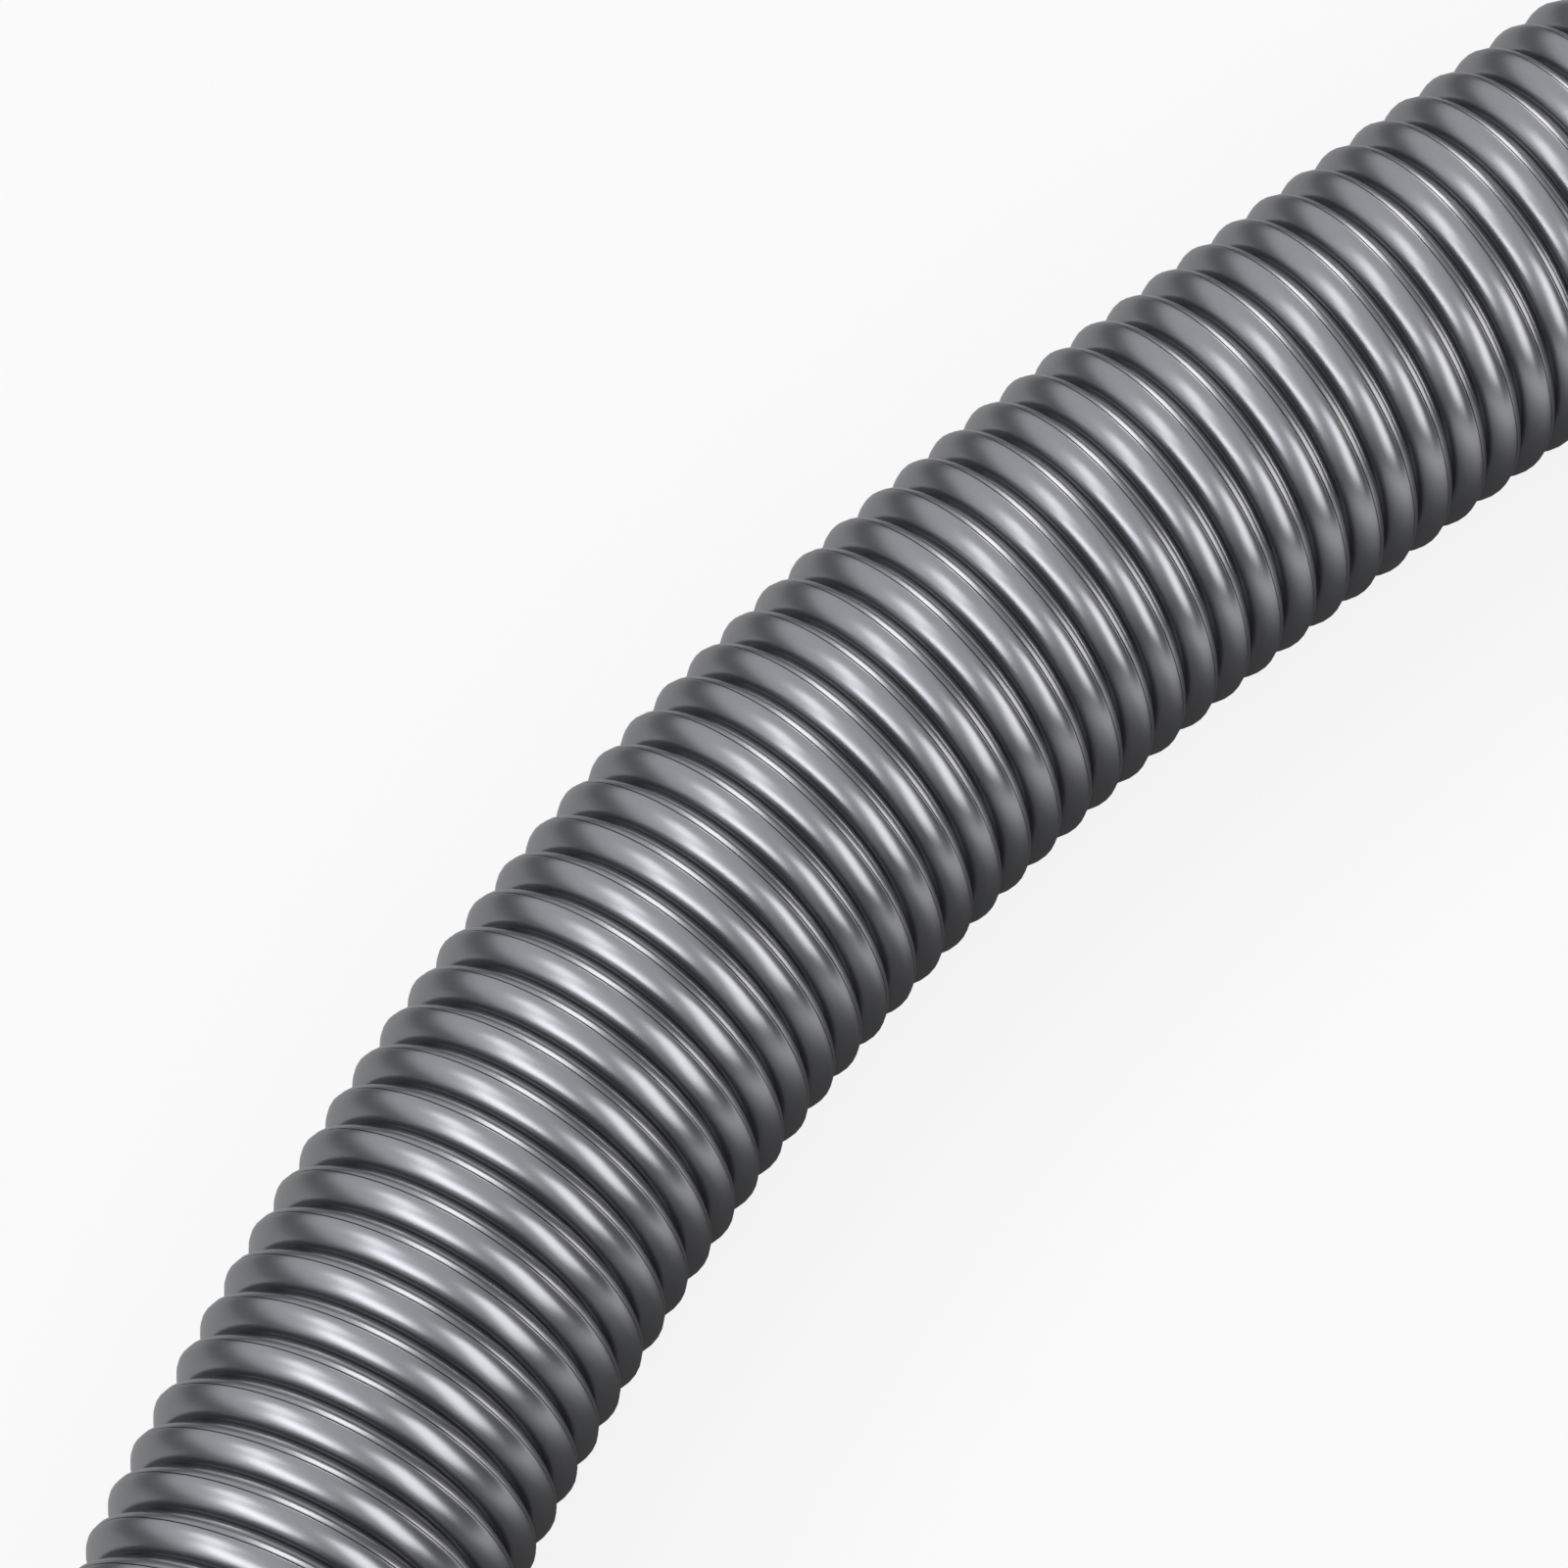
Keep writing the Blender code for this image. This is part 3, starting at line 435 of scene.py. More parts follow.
def silver_plastic():
    """Metallic silver plastic: the strip's dark joint, painted groove shade, fine extruded streaks.
    """
    material = new_material("silver_plastic", SILVER, 0.28, 0.97)
    tree, nodes, shader = nodes_of(material)
    seam_and_painted_shade = nodes.new("ShaderNodeAttribute")
    seam_and_painted_shade.attribute_name = "seam_and_painted_shade"
    layout = nodes.new("ShaderNodeUVMap")
    layout.uv_map = MAP_NAME
    spread = nodes.new("ShaderNodeVectorMath")
    spread.operation = "MULTIPLY"
    spread.inputs[1].default_value = (14.0, 9000.0, 1.0)
    feed(tree, spread.inputs[0], layout.outputs["UV"])
    streak = noise(tree, spread.outputs[0], 1.0, 3.0, "2D")
    tone = mapped(tree, streak, 0.3, 0.7, 0.985, 1.01)
    plain = mixed(tree, 1.0, SILVER, tone, "MULTIPLY")
    # the lap line and the grooves' painted shade darken the silver
    tint = mixed(tree, seam_and_painted_shade.outputs["Fac"], plain, LAP_AND_SHADE_TINT)
    feed(tree, shader.inputs["Base Color"], tint)
    feed(tree, shader.inputs["Roughness"], mapped(tree, streak, 0.3, 0.7, 0.285, 0.295))
    return material


def build_hose():
    """The hose itself, which takes the place of the CAD hose."""
    points, faces, corners, dark = hose_mesh()
    mesh = grid_mesh("ribbed_hose_skin", points, faces)
    # darkness at each point: the lap line and the grooves' painted shade
    seam_and_painted_shade = mesh.attributes.new("seam_and_painted_shade", "FLOAT", "POINT")
    seam_and_painted_shade.data.foreach_set("value", dark.astype(np.float32))
    hose = link(bpy.data.objects.new("ribbed_hose_skin", mesh))
    layout = mesh.uv_layers.new(name=MAP_NAME)
    layout.data.foreach_set("uv", corners.astype(np.float32).ravel())
    mesh.materials.append(silver_plastic())
    mesh.shade_smooth()
    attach(hose, "hose")
    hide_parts("ribbed_hose")
    return hose


HOSE = build_hose()

# ------------------------------------------------------------------------------- the ends

# The ends' own frames: Z runs along the cuff, away from the hose. Their sizes are in
# millimetres, along from the hose's end face and outward from the cuff's axis.
MACHINE_END = Matrix.Translation(Vector(CENTRELINE[0])) @ Matrix.Rotation(math.pi / 2, 4, "Y")
TOOL_END = Matrix.Translation(Vector(CENTRELINE[-1])) @ Matrix.Rotation(-math.pi / 2, 4, "Y")
MM = 0.001
SIDES = 144  # of a plain turned piece
FLUTED_SIDES = 260
SLEEVE_SIDES = 280
KNURLED_SIDES = 480
BAR_SIDES = 32
FILLET_STEPS = 4
SHARP_ANGLE = math.radians(32)
FINE = 0.6  # the longest step along a fluted outline

# Radii.
BORE = 16.0
SEAT = 20.5
SLEEVE = 22.6
NECK = 18.4
FLANGE = 20.6
COLLAR = 25.0
CAVITY = 22.9
SPIGOT = 18.5
BARREL = 21.0  # the cuff's outside, in front of its collar
MOUTH = 23.5
SPRING_HOLE = 2.7
PIN = 0.75

# Distances along a cuff.
COLLAR_BACK, COLLAR_FRONT = 3.6, 17.0
CAVITY_FRONT = 16.5
LATCH_SPRING_AT = 26.6
LEVER_SPRING_AT = 56.64
PIVOT_AT, PIVOT_OUT = 66.0, 23.0  # of the lever's pin, and its distance from the cuff's axis

# How far a spring is pressed.
LATCH_TRAVEL = 1.7
LEVER_TRAVEL = 1.0

LATCHES = {"left": math.pi / 2, "right": -math.pi / 2}


def softened(corners):
    """An outline with its corners rounded. A corner is (along, outward) or has its fillet too."""
    line = []
    for i, corner in enumerate(corners):
        here = Vector(corner[:2])
        fillet = corner[2] if len(corner) > 2 else 0.0
        before = Vector(corners[i - 1][:2]) - here
        after = Vector(corners[(i + 1) % len(corners)][:2]) - here
        if not fillet:
            line.append(here)
            continue
        reach = min(
            fillet / math.tan(before.angle(after) / 2), 0.46 * before.length, 0.46 * after.length
        )
        start = here + before.normalized() * reach
        end = here + after.normalized() * reach
        for k in range(FILLET_STEPS + 1):
            t = k / FILLET_STEPS
            line.append((1 - t) ** 2 * start + 2 * t * (1 - t) * here + t * t * end)
    return line


def divided(line, longest):
    """An outline with its long sides divided."""
    fine = []
    for i, here in enumerate(line):
        after = line[(i + 1) % len(line)]
        parts = max(1, math.ceil((after - here).length / longest))
        fine += [here.lerp(after, k / parts) for k in range(parts)]
    return fine


def finished(mesh):
    """Turn a mesh's faces outward and shade its round faces smooth."""
    work = bmesh.new()
    work.from_mesh(mesh)
    bmesh.ops.remove_doubles(work, verts=work.verts, dist=1e-7)
    bmesh.ops.recalc_face_normals(work, faces=work.faces)
    work.to_mesh(mesh)
    work.free()
    mesh.shade_smooth()
    mesh.set_sharp_from_angle(angle=SHARP_ANGLE)
    return mesh


def lathe(name, corners, cut_in=None, sides=SIDES):
    """A turned piece about Z, from an outline. cut_in says how deep its outside is cut."""
    line = softened(corners)
    if cut_in is not None:
        line = divided(line, FINE)
    line = np.array([tuple(point) for point in line])
    turn = 2 * math.pi * np.arange(sides) / sides
    along = np.broadcast_to(line[None, :, 0], (sides, len(line)))
    radius = np.broadcast_to(line[None, :, 1], along.shape)
    angle = np.broadcast_to(turn[:, None], along.shape)
    if cut_in is not None:
        radius = radius - cut_in(along, angle, radius)
    points = np.stack([radius * np.cos(angle), radius * np.sin(angle), along], axis=2)
    index = np.arange(sides * len(line)).reshape(sides, len(line))
    beside = np.roll(index, -1, axis=0)
    faces = strip_faces(index, beside, np.roll(beside, -1, axis=1), np.roll(index, -1, axis=1))
    mesh = grid_mesh(name, points.reshape(-1, 3) * MM, faces)
    return link(bpy.data.objects.new(name, finished(mesh)))


def flutes(low, high, depth, count, least, run_out=1.4, sharpness=0.8):
    """Grip flutes between two distances along a piece, where its radius is over the least one."""

    def cut_in(along, angle, radius):
        ends = np.minimum((along - low) / run_out, (high - along) / run_out).clip(0.0, 1.0)
        wave = np.abs(np.cos(count * angle / 2)) ** sharpness
        return depth * np.sqrt(ends * (2 - ends)) * wave * (radius > least)

    return cut_in


def side_axes(angle):
    """Axes on a cuff's side: along the cuff, outward, and across."""
    along = Vector((0.0, 0.0, 1.0))
    outward = Vector((math.cos(angle), math.sin(angle), 0.0))
    return along, outward, along.cross(outward)


def side_plate(name, corners, width, angle=0.0, edge=0.0, shift=0.0):
    """An outline on a cuff's side, with a width across it, and its edges rounded."""
    along, outward, across = side_axes(angle)
    line = softened(corners)
    work = bmesh.new()
    rows = []
    for reach in (-width / 2 + shift, width / 2 + shift):
        rows.append(
            [work.verts.new((p.x * along + p.y * outward + reach * across) * MM) for p in line]
        )
    work.faces.new(rows[0])
    work.faces.new(rows[1][::-1])
    for i in range(len(line)):
        j = (i + 1) % len(line)
        work.faces.new((rows[0][i], rows[1][i], rows[1][j], rows[0][j]))
    bmesh.ops.recalc_face_normals(work, faces=work.faces)
    mesh = bpy.data.meshes.new(name)
    work.to_mesh(mesh)
    work.free()
    plate = link(bpy.data.objects.new(name, mesh))
    if edge:
        soft = plate.modifiers.new("edges", "BEVEL")
        soft.width = edge * MM
        soft.segments = 3
        soft.limit_method = "ANGLE"
        soft.angle_limit = math.radians(50)
        keep_shape(plate)
    return plate


def round_bar(name, radius, low, high, along, angle=0.0, across=False):
    """A round bar that stands on a cuff's side, or lies across it, for holes and pins."""
    axis_z, outward, side = side_axes(angle)
    work = bmesh.new()
    ends = {"radius1": radius * MM, "radius2": radius * MM}
    bmesh.ops.create_cone(work, cap_ends=True, segments=BAR_SIDES, depth=1.0, **ends)
    heading = side if across else outward
    turn = heading.to_track_quat("Z", "Y").to_matrix().to_4x4()
    middle = (axis_z * along + heading * (low + high) / 2) * MM
    work.transform(Matrix.Diagonal((1.0, 1.0, (high - low) * MM, 1.0)))
    work.transform(Matrix.Translation(middle) @ turn)
    mesh = bpy.data.meshes.new(name)
    work.to_mesh(mesh)
    work.free()
    return link(bpy.data.objects.new(name, mesh))


def keep_shape(item):
    """Keep the shape that an object's modifiers make."""
    bpy.context.view_layer.update()
    graph = bpy.context.evaluated_depsgraph_get()
    mesh = bpy.data.meshes.new_from_object(item.evaluated_get(graph))
    item.modifiers.clear()
    item.data = mesh


def combine(item, tools, operation):
    """Cut shapes out of a piece, or join them to it."""
    for tool in tools:
        step = item.modifiers.new(tool.name, "BOOLEAN")
        step.operation = operation
        step.solver = "EXACT"
        step.object = tool
    keep_shape(item)
    for tool in tools:
        bpy.data.objects.remove(tool, do_unlink=True)


def fit(item, end, material, body, node):
    """Move a piece to its end of the hose, give it its material and body, and hide its CAD node."""
    item.data.transform(end)
    item.data.materials.clear()
    item.data.materials.append(material)
    for face in item.data.polygons:
        face.material_index = 0
    finished(item.data)
    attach(item, body)
    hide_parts(node)
    return item


def grain(material, scale, height, fineness=2.0):
    """A fine moulded grain, from noise in the piece's own space."""
    tree, nodes, shader = nodes_of(material)
    where = nodes.new("ShaderNodeTexCoord").outputs["Object"]
    bump = nodes.new("ShaderNodeBump")
    feed(tree, bump.inputs["Strength"], 0.6)
    feed(tree, bump.inputs["Distance"], height)
    feed(tree, bump.inputs["Height"], noise(tree, where, scale, fineness))
    feed(tree, shader.inputs["Normal"], bump.outputs["Normal"])
    return where


def varied(material, where, colours, roughness, scale):
    """Soft patches of colour and gloss, and paler edges where hands wear them."""
    tree, nodes, shader = nodes_of(material)
    patches = noise(tree, where, scale, 4.0)
    feed(tree, shader.inputs["Roughness"], mapped(tree, patches, 0.35, 0.65, *roughness))
    tone = nodes.new("ShaderNodeValToRGB")
    stops = tone.color_ramp.elements
    for stop, position, colour in zip(stops, (0.3, 0.7), colours[:2]):
        stop.position = position
        stop.color = (*colour, 1.0)
    feed(tree, tone.inputs["Fac"], patches)
    shape = nodes.new("ShaderNodeNewGeometry")
    worn = mapped(tree, shape.outputs["Pointiness"], 0.52, 0.62, 0.0, 0.5)
    feed(tree, shader.inputs["Base Color"], mixed(tree, worn, tone.outputs["Color"], colours[2]))


def moulded(name, colours, roughness, scale=1800.0, height=0.00006, patch=60.0):
    """A moulded plastic or rubber with its grain, patches and worn edges."""
    material = new_material(name, colours[0], roughness[0])
    where = grain(material, scale, height)
    varied(material, where, colours, roughness, patch)
    return material


def drawn_steel():
    """Bright drawn wire, with faint marks along it."""
    material = new_material("drawn_steel", (0.55, 0.55, 0.57), 0.28, 1.0)
    where = grain(material, 3500.0, 0.00001, 4.0)
    steels = ((0.50, 0.50, 0.52), (0.60, 0.60, 0.61), (0.66, 0.66, 0.67))
    varied(material, where, steels, (0.22, 0.36), 900.0)
    return material


DARK = moulded(
    "grained_dark_plastic",
    ((0.030, 0.031, 0.034), (0.038, 0.039, 0.043), (0.070, 0.070, 0.075)),
    (0.34, 0.46),
)
GREY = moulded(
    "grained_grey_plastic",
    ((0.150, 0.155, 0.165), (0.170, 0.175, 0.185), (0.260, 0.265, 0.275)),
    (0.36, 0.46),
)
PALE = moulded(
    "pale_plastic", ((0.48, 0.48, 0.46), (0.53, 0.53, 0.50), (0.62, 0.62, 0.59)), (0.40, 0.50)
)
RUBBER = moulded(
    "soft_rubber",
    ((0.016, 0.016, 0.018), (0.024, 0.024, 0.025), (0.045, 0.045, 0.045)),
    (0.55, 0.72),
    2600.0,
    0.00010,
    140.0,
)
STEEL = drawn_steel()


def build_sleeve(end_name, end):
    """Threaded sleeve with a fluted grip, and the neck and flange that its cuff turns on."""
    corners = [
        (13.2, FLANGE, 0.5),
        (11.2, FLANGE, 0.3),
        (11.2, NECK, 0.3),
        (3.2, NECK, 0.3),
        (3.2, SLEEVE, 0.7),
        (-24.0, SLEEVE, 0.6),
        (-24.0, SEAT, 0.3),
        (0.3, SEAT, 0.2),
        (0.3, BORE, 0.1),
        (13.2, BORE, 0.4),
    ]
    cut_in = flutes(-21.5, 0.6, 0.55, 28, SLEEVE - 0.4, 2.2)
    sleeve = lathe(end_name + "_sleeve_shell", corners, cut_in, SLEEVE_SIDES)
    return fit(sleeve, end, DARK, "hose", end_name + "_hose_sleeve")


def build_guard(end_name, end):
    """Soft bend guard with rounded ribs."""
    front, back, tip = -24.3, -46.3, 21.6
    pitch = (front - back) / 3.5
    slope = (SLEEVE - tip) / (front - back)
    groove = ((0.42, 0, 0.6), (0.64, 0.95, 0.8), (0.86, 0.95, 0.8), (1.08, 0, 0.6))
    corners = [(front, SLEEVE, 0.5)]
    for i in range(3):
        for share, depth, fillet in groove:
            behind = (i + share) * pitch
            corners.append((front - behind, SLEEVE - slope * behind - depth, fillet))
    corners += [(back, tip, 0.7), (back, SEAT, 0.3), (front, SEAT, 0.2)]
    guard = lathe(end_name + "_guard_skin", corners)
    return fit(guard, end, RUBBER, "hose", end_name + "_bend_guard")


def collar_corners():
    """The outside of a collar and its cavity, from its front to its inner front wall."""
    return [
        (COLLAR_FRONT, COLLAR - 1.2, 0.3),
        (COLLAR_FRONT - 1.2, COLLAR, 0.9),
        (COLLAR_BACK + 1.2, COLLAR, 0.9),
        (COLLAR_BACK, COLLAR - 1.2, 0.3),
        (COLLAR_BACK, 22.2, 0.2),
        (4.2, 22.2, 0.1),
        (4.2, CAVITY, 0.1),
        (CAVITY_FRONT, CAVITY, 0.2),
        (CAVITY_FRONT, BORE, 0.2),
    ]


COLLAR_GRIP = flutes(5.4, 15.2, 0.8, 26, COLLAR - 0.9, 1.6)


def build_connector():
    """Swivel connector: fluted collar, latch housing, seat flange and spigot."""
    corners = [
        (78.0, 18.1, 0.8),
        (68.7, SPIGOT, 0.2),
        (68.7, 17.2, 0.2),
        (66.3, 17.2, 0.2),
        (66.3, SPIGOT, 0.2),
        (40.0, SPIGOT, 0.4),
        (40.0, COLLAR, 0.7),
        (36.0, COLLAR, 0.7),
        (36.0, 23.4, 0.6),
        (COLLAR_FRONT, 23.4, 0.4),
    ]
    corners += collar_corners()
    corners.append((78.0, BORE, 0.8))
    shell = lathe("connector_shell", corners, COLLAR_GRIP, FLUTED_SIDES)
    pocket = [
        (17.6, 18.9, 0.2),
        (46.0, 18.9),
        (46.0, 22.7),
        (32.6, 22.7, 0.2),
        (32.6, 26.2),
        (20.6, 26.2),
        (20.6, 22.3, 0.2),
        (17.6, 22.3, 0.2),
    ]
    cutters = [
        side_plate("pocket_" + side, pocket, 8.8, angle) for side, angle in LATCHES.items()
    ]
    combine(shell, cutters, "DIFFERENCE")
    return fit(
        shell, MACHINE_END, DARK, "machine_swivel", "machine_connector"
    )


def build_o_ring():
    """Sealing ring in the spigot's groove."""
    section, middle, along, points = 0.9, 18.4, 67.5, 20
    corners = []
    for i in range(points):
        angle = 2 * math.pi * i / points
        corners.append((along + section * math.cos(angle), middle + section * math.sin(angle)))
    ring = lathe("o_ring_band", corners)
    return fit(ring, MACHINE_END, RUBBER, "machine_swivel", "machine_o_ring")


def ridged(first, last, top, count, depth, fillet):
    """The top line of a thumb grip, with grooves across it, from front to back."""
    pitch = (first - last) / count
    line = []
    for i in range(count):
        at = first - i * pitch
        line += [
            (at - 0.20 * pitch, top, fillet),
            (at - 0.42 * pitch, top - depth, fillet),
            (at - 0.58 * pitch, top - depth, fillet),
            (at - 0.80 * pitch, top, fillet),
        ]
    return line


def build_latch(side, angle):
    """Latch button: heel, ridged thumb pad, tongue and hook, with its spring's hole."""
    corners = [
        (18.0, 20.9, 0.2),
        (46.0, 20.9, 0.2),
        (46.0, 22.1, 0.3),
        (44.5, 24.3, 0.3),
        (43.0, 24.3, 0.2),
        (43.0, 22.4, 0.3),
        (32.2, 22.4, 0.4),
        (31.7, 24.7, 0.5),
    ]
    corners += ridged(31.0, 22.2, 24.7, 5, 0.45, 0.2)
    corners += [(21.5, 24.7, 0.5), (21.0, 22.0, 0.2), (18.0, 22.0, 0.2)]
    button = side_plate("latch_pad_" + side, corners, 8.0, angle, 0.25)
    hole = round_bar("spring_hole_" + side, SPRING_HOLE, 18.0, 23.1, LATCH_SPRING_AT, angle)
    combine(button, [hole], "DIFFERENCE")
    return fit(
        button, MACHINE_END, GREY, "latch_" + side, "latch_button_" + side
    )


def build_spring(name, angle, along, foot, top, end, body, node, joint, travel):
    """Compression spring of round wire on a cuff's side."""
    wire, coil, turns, steps, around = 0.225, 2.0, 3, 28, 10
    axis, outward, across = (np.array(v) for v in side_axes(angle))
    t = np.arange(turns * steps + 1) / steps
    phase = 2 * math.pi * t
    height = foot + wire + (top - foot - 2 * wire) * t / turns
    spoke = np.cos(phase)[:, None] * axis + np.sin(phase)[:, None] * across
    middle = along * axis + height[:, None] * outward + coil * spoke
    turn = 2 * math.pi * np.arange(around) / around
    ring = (
        np.cos(turn)[None, :, None] * spoke[:, None, :]
        + np.sin(turn)[None, :, None] * outward[None, None, :]
    )
    points = (middle[:, None, :] + wire * ring).reshape(-1, 3)
    index = np.arange(len(points)).reshape(len(t), around)
    beside = np.roll(index, -1, axis=1)
    mesh = grid_mesh(name, points * MM, strip_faces(index[:-1], index[1:], beside[1:], beside[:-1]))
    work = bmesh.new()
    work.from_mesh(mesh)
    bmesh.ops.holes_fill(work, edges=[edge for edge in work.edges if edge.is_boundary], sides=0)
    work.to_mesh(mesh)
    work.free()
    spring = link(bpy.data.objects.new(name, mesh))
    fit(spring, end, STEEL, body, node)
    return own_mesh(spring)


def build_cuff():
    """Swivel cuff: fluted collar, relief track, grip, lever ears, socket and its mouth."""
    corners = [
        (92.0, 22.9, 0.6),
        (91.4, MOUTH, 0.5),
        (86.6, MOUTH, 0.6),
        (86.0, BARREL, 1.6),
        (34.9, BARREL, 0.2),
        (34.9, BARREL - 0.8, 0.15),
        (22.1, BARREL - 0.8, 0.15),
        (22.1, BARREL, 0.2),
        (COLLAR_FRONT, BARREL, 0.5),
    ]
    corners += collar_corners()
    corners += [(46.0, BORE, 0.3), (46.0, 17.4, 0.3), (92.0, 17.6, 1.2)]
    barrel_grip = flutes(37.0, 50.5, 0.45, 26, BARREL - 0.4, 1.8)

    def cut_in(along, angle, radius):
        barrel = barrel_grip(along, angle, radius)
        return np.where(along > COLLAR_FRONT, barrel, COLLAR_GRIP(along, angle, radius))

    shell = lathe("cuff_shell", corners, cut_in, FLUTED_SIDES)
    ear = [
        (62.9, 18.7),
        (69.1, 18.7),
        (69.1, 21.4, 0.5),
        (67.9, 24.0, 1.2),
        (66.9, 24.95, 0.8),
        (65.1, 24.95, 0.8),
        (64.1, 24.0, 1.2),
        (62.9, 21.4, 0.5),
    ]
    ears = [
        side_plate("ear_" + side, ear, 1.8, 0.0, 0.2, shift)
        for side, shift in (("left", 5.7), ("right", -5.7))
    ]
    combine(shell, ears, "UNION")
    slot = [(76.4, 8.0), (81.6, 8.0), (81.6, 25.0), (76.4, 25.0)]
    vent = [(26.8, 8.0), (30.2, 8.0), (30.2, 25.0), (26.8, 25.0)]
    cutters = [
        cross_bar("pin_hole", PIN + 0.1, 9.0),
        side_plate("hook_slot", slot, 5.6),
        round_bar("spring_well", SPRING_HOLE, 18.8, 24.0, LEVER_SPRING_AT),
        side_plate("relief_vent", vent, 8.5, math.pi / 2),
    ]
    combine(shell, cutters, "DIFFERENCE")
    return fit(shell, TOOL_END, DARK, "tool_swivel", "tool_cuff")


def cross_bar(name, radius, half):
    """A round bar that lies across the lever's side, at its pivot."""
    bar = round_bar(name, radius, -half, half, PIVOT_AT, 0.0, True)
    bar.data.transform(Matrix.Translation(Vector((PIVOT_OUT * MM, 0.0, 0.0))))
    return bar


def build_relief_ring():
    """Open ring with a knurled band and a thumb tab, which turns over the vent."""
    corners = [
        (34.5, 23.6, 0.8),
        (22.5, 23.6, 0.8),
        (22.5, 20.6, 0.2),
        (34.5, 20.6, 0.2),
    ]
    knurl = flutes(24.2, 32.8, 0.35, 80, 23.2, 0.8, 1.0)
    ring = lathe("relief_band", corners, knurl, KNURLED_SIDES)
    gap = [(22.0, 12.0), (35.0, 12.0), (35.0, 28.4), (22.0, 28.4)]
    combine(ring, [side_plate("ring_gap", gap, 14.43, math.radians(136.0))], "DIFFERENCE")
    tab_at = math.radians(60.0)
    tab = [
        (23.7, 22.6),
        (33.3, 22.6),
        (33.3, 23.9, 0.5),
        (32.4, 24.5, 0.5),
        (24.6, 24.5, 0.5),
        (23.7, 23.9, 0.5),
    ]
    combine(ring, [side_plate("ring_tab", tab, 5.28, tab_at, 0.3)], "UNION")
    notch = [(25.0, 24.2, 0.2), (32.0, 24.2, 0.2), (32.3, 25.0), (24.7, 25.0)]
    notches = [
        side_plate("tab_notch_%d" % i, notch, 0.7, tab_at, 0.0, shift)
        for i, shift in enumerate((-1.3, 0.0, 1.3))
    ]
    combine(ring, notches, "DIFFERENCE")
    return fit(ring, TOOL_END, GREY, "relief_ring", "air_relief_ring")


def build_lever():
    """Lock lever with a ridged tail, a round hub, and the hook that holds the wand."""
    pivot, at = PIVOT_OUT, PIVOT_AT
    corners = [
        (at - 13.0, pivot - 0.15, 0.4),
        (at - 2.4, pivot - 0.4, 0.6),
        (at - 1.2, pivot - 1.7, 1.0),
        (at + 1.2, pivot - 1.7, 1.0),
        (at + 2.4, pivot - 0.4, 0.6),
        (at + 14.0, pivot - 0.15, 0.4),
        (at + 14.0, pivot + 1.1, 0.5),
        (at + 12.8, pivot + 1.7, 0.8),
        (at - 3.2, pivot + 1.7, 0.4),
    ]
    corners += ridged(at - 3.9, at - 11.4, pivot + 1.7, 5, 0.5, 0.2)
    corners += [(at - 12.0, pivot + 1.7, 0.5), (at - 13.0, pivot + 1.1, 0.5)]
    lever = side_plate("lock_lever_arm", corners, 8.8, 0.0, 0.3)
    hook = [(77.2, 16.8, 0.5), (79.7, 16.8, 0.3), (79.7, 23.4), (77.2, 23.4)]
    combine(lever, [side_plate("lever_hook", hook, 4.8, 0.0, 0.2)], "UNION")
    bore = cross_bar("lever_bore", PIN + 0.2, 6.0)
    dimple = round_bar("lever_dimple", SPRING_HOLE, 20.0, 23.53, LEVER_SPRING_AT)
    combine(lever, [bore, dimple], "DIFFERENCE")
    return fit(lever, TOOL_END, GREY, "lock_lever", "wand_lock_lever")


def build_pin():
    """The lever's steel pin, with its ends rounded."""
    pin = cross_bar("lock_pin_rod", PIN, 6.6)
    soft = pin.modifiers.new("ends", "BEVEL")
    soft.width = 0.2 * MM
    soft.segments = 2
    soft.limit_method = "ANGLE"
    keep_shape(pin)
    return fit(pin, TOOL_END, STEEL, "tool_swivel", "wand_lock_pin")


def build_ends():
    """Both ends, piece by piece, and the looks of the CAD rings inside them."""
    for end_name, end in (("machine", MACHINE_END), ("tool", TOOL_END)):
        build_sleeve(end_name, end)
        build_guard(end_name, end)
        NODES[end_name + "_retaining_ring"].material_slots[0].material = PALE
        NODES[end_name + "_swivel_seal"].material_slots[0].material = RUBBER
    build_connector()
    build_o_ring()
    for side, angle in LATCHES.items():
        build_latch(side, angle)
        place = (angle, LATCH_SPRING_AT, 19.2, 22.8, MACHINE_END, "machine_swivel")
        moves = ("latch_spring_" + side, f"latch_{side}_press", LATCH_TRAVEL)
        build_spring("latch_coil_" + side, *place, *moves)
    place = (0.0, LEVER_SPRING_AT, 19.1, 23.23, TOOL_END, "tool_swivel")
    build_spring("lock_coil", *place, "wand_lock_spring", "lock_lever_press", LEVER_TRAVEL)
    build_relief_ring()
    build_lever()
    build_pin()
    return build_cuff()


TOOL_CUFF = build_ends()

# ---------------------------------------------------------------------- floor and the light

LOOP_REACH = (0.272, 0.214)  # of the hose from the middle of the loop, in x and in y
FLOOR_SIZE = 6.0
FLOOR_DROP = 0.0002  # under the object, so that no two faces lie in one plane
FLOOR_SEEN = 0.80  # the floor's colour to the camera
FLOOR_BOUNCE = 0.09  # its colour to the other rays, so that it throws little light back
FLOOR_WHITE = 0.85  # the share of plain white that the camera sees, and the rest keeps the shadow

# How brightly the floor shows in glossy plastic, against half the distance from the middle of
# the loop to the hose: painted light and painted shadow that only reflections see, bright in the
# middle, dark beside the hose, pale outside.
FLOOR_GLOW = (
    (0.00, 1.00),
    (0.26, 0.85),
    (0.34, 0.35),
    (0.40, 0.06),
    (0.48, 0.03),
    (0.57, 0.42),
    (0.69, 0.40),
    (0.76, 0.14),
    (0.83, 0.04),
)

